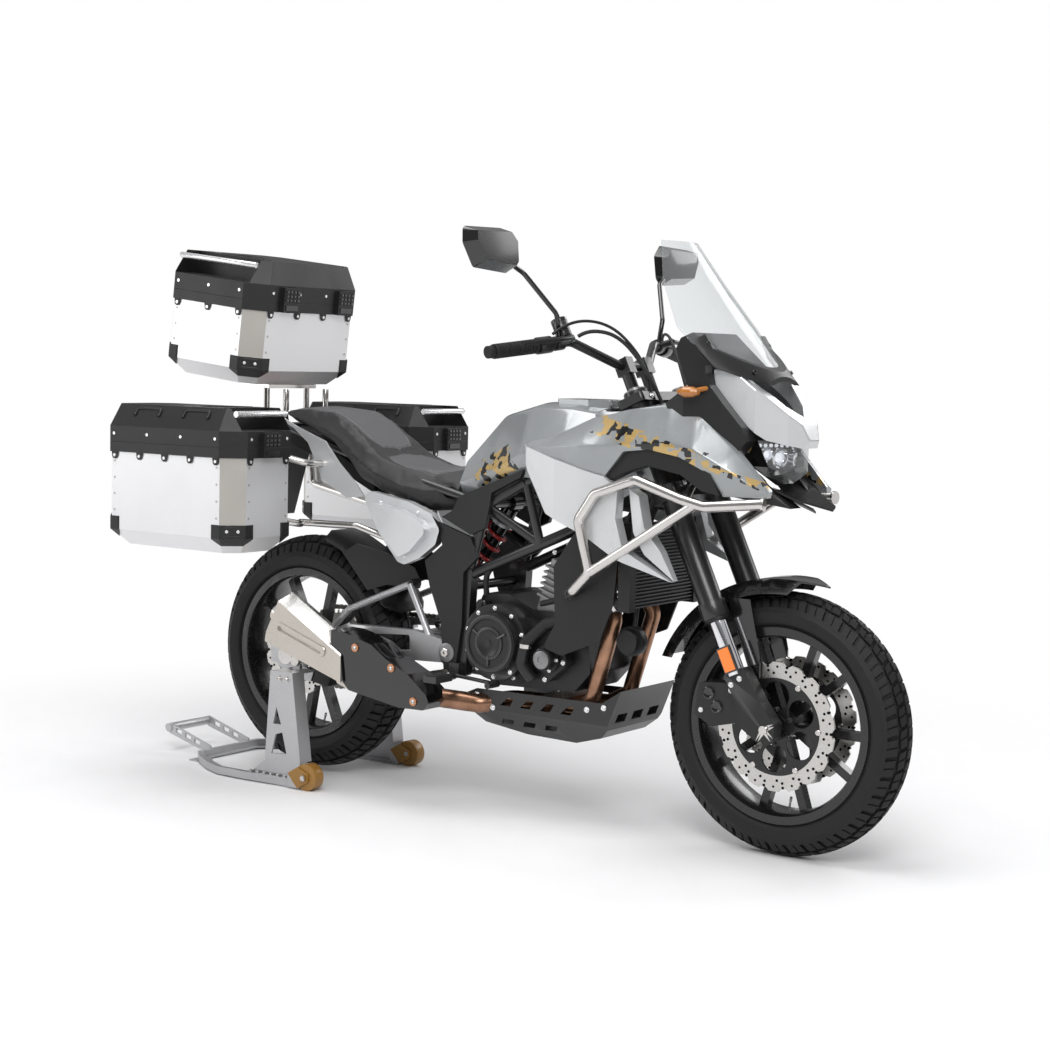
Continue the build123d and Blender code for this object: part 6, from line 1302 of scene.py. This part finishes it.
def fit_case(name, at, size, lid_deep, latches, pocket_ahead, lid_body):
    """One case's small parts: rim tabs, screws, rivets, latch faces, guard ribs, handles and lid ribs."""
    long, wide, deep = size
    half_x, half_y, top = long / 2, wide / 2, deep + lid_deep
    up = (at(0, 0, 1) - at(0, 0, 0)).normalized()

    def way(x, y):
        return (at(x, y, 0) - at(0, 0, 0)).normalized()

    def round_walls(step, z, out):
        """Places about a step apart round the four walls, clear of the corners, and each wall's facing."""
        for sx, sy, span in ((1, 0, half_y), (-1, 0, half_y), (0, 1, half_x), (0, -1, half_x)):
            run = span - 58
            count = max(2, round(2 * run / step) + 1)
            for k in range(count):
                t = -run + 2 * run * k / (count - 1)
                yield (sx * (half_x + out) + abs(sy) * t, sy * (half_y + out) + abs(sx) * t, z, sx, sy)

    tabs, box_screws, lid_screws, rivets, pads, guard_ribs = Build(), [], [], [], [], []
    tab = ((-11, 6), (-9, -9), (-4, -14), (4, -14), (9, -9), (11, 6))
    for x, y, z, sx, sy in round_walls(96, deep - 30, 0.5):
        out, across, base = way(sx, sy), way(sy, sx), at(x, y, z)
        tabs.plate([base + across * a + up * b for a, b in tab], out * 3, black_plastic)
        box_screws.append((base - up * 5 + out * 3.4, out, 3.1))
    for x, y, z, sx, sy in round_walls(120, deep + 0.22 * lid_deep, 5.2):
        if not any(sx == 1 and abs(y - latch) < 40 for latch in latches):
            lid_screws.append((at(x, y, z), way(sx, sy), 3.1))
    for latch in latches:
        pads += [(at(half_x + 18.6, latch - 21 + 14 * column, deep + 7 + 11 * row), way(1, 0), 1.0)
                 for row in range(3) for column in range(4)]
        tabs.block(at(half_x + 18.6, latch, deep - 13), (2.4, 46, 14), gloss_black,
                   Matrix.Rotation(math.atan2(-way(1, 0).z, way(1, 0).x), 3, "Y"))
    for sx in (-1, 1):
        for sy in (-1, 1):
            out, across = way(sx * 0.7071, sy * 0.7071), way(-sx * 0.7071, sy * 0.7071)
            middle = at(sx * (half_x - 23), sy * (half_y - 23), 58) + out * 3
            box_screws += [(middle + across * t + out * 0.3, out, 3.0) for t in (-14, 14)]
            guard_ribs += [[middle + up * drop - across * 20, middle + up * drop + across * 20]
                           for drop in (-11, 11)]
            for z in range(90, int(deep) - 40, 42):
                rivets += [(at(sx * (half_x - 56), sy * (half_y + 0.1), z), way(0, sy), 2.6),
                           (at(sx * (half_x + 0.1), sy * (half_y - 56), z), way(sx, 0), 2.6)]
    handles, lid_ribs = [], []
    for sy in (-1, 1) if pocket_ahead else (1,):
        for share in (-0.16, 0.2):
            if pocket_ahead:
                a, b = (at(long * share + t, sy * (half_y - 12), top - 22) for t in (-42, 42))
                rise = up * 13 - way(0, sy) * 9
            else:
                a, b = (at(half_x - 12, wide * share + t, top - 22) for t in (-42, 42))
                rise = up * 13 - way(1, 0) * 9
            handles.append([a - rise * 0.4, a + rise * 0.55, a + (b - a) * 0.12 + rise,
                            b + (a - b) * 0.12 + rise, b + rise * 0.55, b - rise * 0.4])
    for k in range(9):
        s = -0.30 + 0.075 * k
        near = 0.06 + 0.1 * abs(s)
        if pocket_ahead:
            rib = ((long * 0.24, wide * s), (long * near, wide * s * 0.55))
        else:
            rib = ((long * s, -wide * 0.24), (long * s * 0.55, -wide * near))
        lid_ribs.append([at(x, y, top + 0.4) for x, y in rib])
    tabs.finish(name + "_rim_tabs", "chassis", "black_plastic")
    screws(name + "_box_screws", box_screws, "chassis", bolt_alloy, sides=10, rise=0.4)
    screws(name + "_lid_screws", lid_screws, lid_body, bolt_alloy, sides=10, rise=0.25)
    screws(name + "_rivets", rivets, "chassis", case_post, sides=8, washer=1.2, rise=0.3,
           mouth=0.55, recess=0.12)
    piping(name + "_guard_ribs", guard_ribs, 1.5, "chassis", gloss_black, sides=6, steps=1)
    piping(name + "_handles", handles, 4.6, lid_body, black_plastic, sides=8, steps=6)
    piping(name + "_lid_ribs", lid_ribs, 1.8, lid_body, gloss_black, sides=6, steps=1)
    grip = grow(bars, spots_mesh(pads), Size=(0.007, 0.010, 0.002), Chamfer=0.0008, Finish=gloss_black)
    settle(name + "_latch_grip", grip, lid_body)


paint_case("top_case_box", "top_case_lid", in_top_case, TOP_CASE, (0, -191, 314))
fit_case("top_case", top_case_at, TOP_CASE, 104, (-95, 125), False, "top_case_lid_body")
for side, word in ((1, "left"), (-1, "right")):
    paint_case(f"pannier_box_{word}", f"pannier_lid_{word}", in_pannier(side), PANNIER, (212, 0, 348))
    fit_case(f"pannier_{word}", pannier_at(side), PANNIER, 96, (0,), True, f"pannier_lid_{word}_body")

# ---------------------------------------------------------------- paddock stand
# A workshop stand of cast and welded alloy that lifts the bike by spools beside the rear axle. It rolls on
# two amber plastic wheels, and bolts join its feet and its cradles.
ROLLER_X, ROLLER_Z, ROLLER_R = 158, 35, 36.5
roller_amber = surface("roller_amber", (0.30, 0.15, 0.025), 0.38, coat=0.2, vary=0.2)


def stand_finish(c, n):
    """Amber wheels on the alloy stand."""
    return roller_amber if math.hypot(c.x - ROLLER_X, c.z - ROLLER_Z) < ROLLER_R and abs(c.y) > 190 else None


dress("paddock_stand", satin_alloy, 1.6)
paint("paddock_stand", stand_finish)
stand_at, wheel_nuts = [], Build()
for way in (-1, 1):
    stand_at += [((x, way * 222, 24.5), (0, 0, 1), 4.0) for x in range(-40, 105, 24)]
    stand_at += [((x, way * 215.8, 282), (0, way, 0), 6) for x in (52, 78)]
    wheel_nuts.turned((ROLLER_X, way * 236.4, ROLLER_Z), (0, way, 0), [(9, -1), (9, 4), (7, 5.5), (3, 5.5)],
                      bright_steel, 6)
screws("stand_bolts", stand_at, "chassis", bright_steel)
wheel_nuts.finish("stand_wheel_nuts", "chassis", "steel_bright")

# ---------------------------------------------------------------- studio
# A plain pale floor that fades to white away from the bike, soft panels of light, and a camera low at the
# bike's front right corner.
FADE_FROM, FADE_TO = 1.3, 2.6          # metres from the bike's middle
SKY_LOW, SKY_HIGH = 0.10, 0.58
PANELS = (("key", (3.0, -4.0, 4.0), (0.2, 0, 0.6), (2.6, 2.6), 165),       # place, target, size, watts
          ("top", (-0.4, -0.8, 4.4), (0, 0, 0.6), (4.0, 2.4), 120),
          ("fill", (-4.0, -3.4, 2.0), (-0.3, 0, 0.7), (2.0, 2.4), 45),
          ("rim", (1.5, 4.2, 3.0), (0.2, 0, 0.7), (3.6, 1.6), 70))
SENSOR_MM, FOCAL_PIXELS, PICTURE_PIXELS = 36, 1998.52, 1050
CAMERA_AT = (3556.65, -4088.41, 1140.01)
CAMERA_RIGHT, CAMERA_UP = Vector((0.816039, 0.577498, 0.023997)), Vector((-0.068272, 0.055079, 0.996145))
CAMERA_BACK = Vector((0.573950, -0.814532, 0.084374))
floor_mesh = bpy.data.meshes.new("floor")
floor_mesh.from_pydata([(-40, -40, 0), (40, -40, 0), (40, 60, 0), (-40, 60, 0)], [], [(0, 1, 2, 3)])
floor = in_scene("floor", floor_mesh)
floor_pale = surface("floor_pale", (0.84, 0.84, 0.845), 0.65, vary=0.01, grain=40, bump=0.02)
floor_mesh.materials.append(floor_pale)
web = floor_pale.node_tree
coords = put(web, "ShaderNodeTexCoord", {})
flat = put(web, "ShaderNodeMapping", {"Vector": coords["Object"], "Scale": (1, 1, 0)})
away = put(web, "ShaderNodeVectorMath", {0: flat["Vector"]}, operation="LENGTH")
fade = put(web, "ShaderNodeMapRange", {"Value": away["Value"], "From Min": FADE_FROM, "From Max": FADE_TO},
           interpolation_type="SMOOTHSTEP")
white = put(web, "ShaderNodeEmission", {"Color": (1, 1, 1, 1)})
both = put(web, "ShaderNodeMixShader", {"Fac": fade["Result"], 1: web.nodes["Principled BSDF"].outputs[0],
                                        2: white["Emission"]})
web.links.new(both["Shader"], web.nodes["Material Output"].inputs["Surface"])

studio = bpy.data.worlds.new("studio")
bpy.context.scene.world = studio
studio.use_nodes = True
sky = studio.node_tree
ray = put(sky, "ShaderNodeTexCoord", {})
height = put(sky, "ShaderNodeSeparateXYZ", {0: ray["Generated"]})
ramp = sky.nodes.new("ShaderNodeValToRGB")
for stop, grey, at in zip(ramp.color_ramp.elements, (SKY_LOW, SKY_HIGH), (0.05, 0.85)):
    stop.color = (grey, grey, grey * 1.02, 1)
    stop.position = at
sky.links.new(height["Z"], ramp.inputs["Fac"])
seen = put(sky, "ShaderNodeLightPath", {})
backdrop = put(sky, "ShaderNodeMix",
               {"Factor": seen["Is Camera Ray"], "A": ramp.outputs["Color"], "B": (1, 1, 1, 1)},
               data_type="RGBA")
sky.links.new(backdrop["Result"], sky.nodes["Background"].inputs["Color"])

for name, at, target, size, power in PANELS:
    panel = bpy.data.lights.new(name, "AREA")
    panel.shape = "RECTANGLE"
    panel.size, panel.size_y = size
    panel.energy = power
    light = in_scene(name, panel)
    light.location = at
    light.rotation_euler = (Vector(target) - Vector(at)).to_track_quat("-Z", "Y").to_euler()

lens = bpy.data.cameras.new("camera")
lens.sensor_width = SENSOR_MM
lens.lens = SENSOR_MM * FOCAL_PIXELS / PICTURE_PIXELS
camera = in_scene("camera", lens)
facing = Matrix((CAMERA_RIGHT, CAMERA_UP, CAMERA_BACK)).transposed().to_4x4()
camera.matrix_world = Matrix.Translation(place(CAMERA_AT)) @ facing
bpy.context.scene.camera = camera
bpy.context.scene.view_settings.view_transform = "Standard"

for node in NODES.values():            # the edges of the main parts are rounded once all pieces are there
    for mod in node.modifiers:
        mod.show_viewport = True
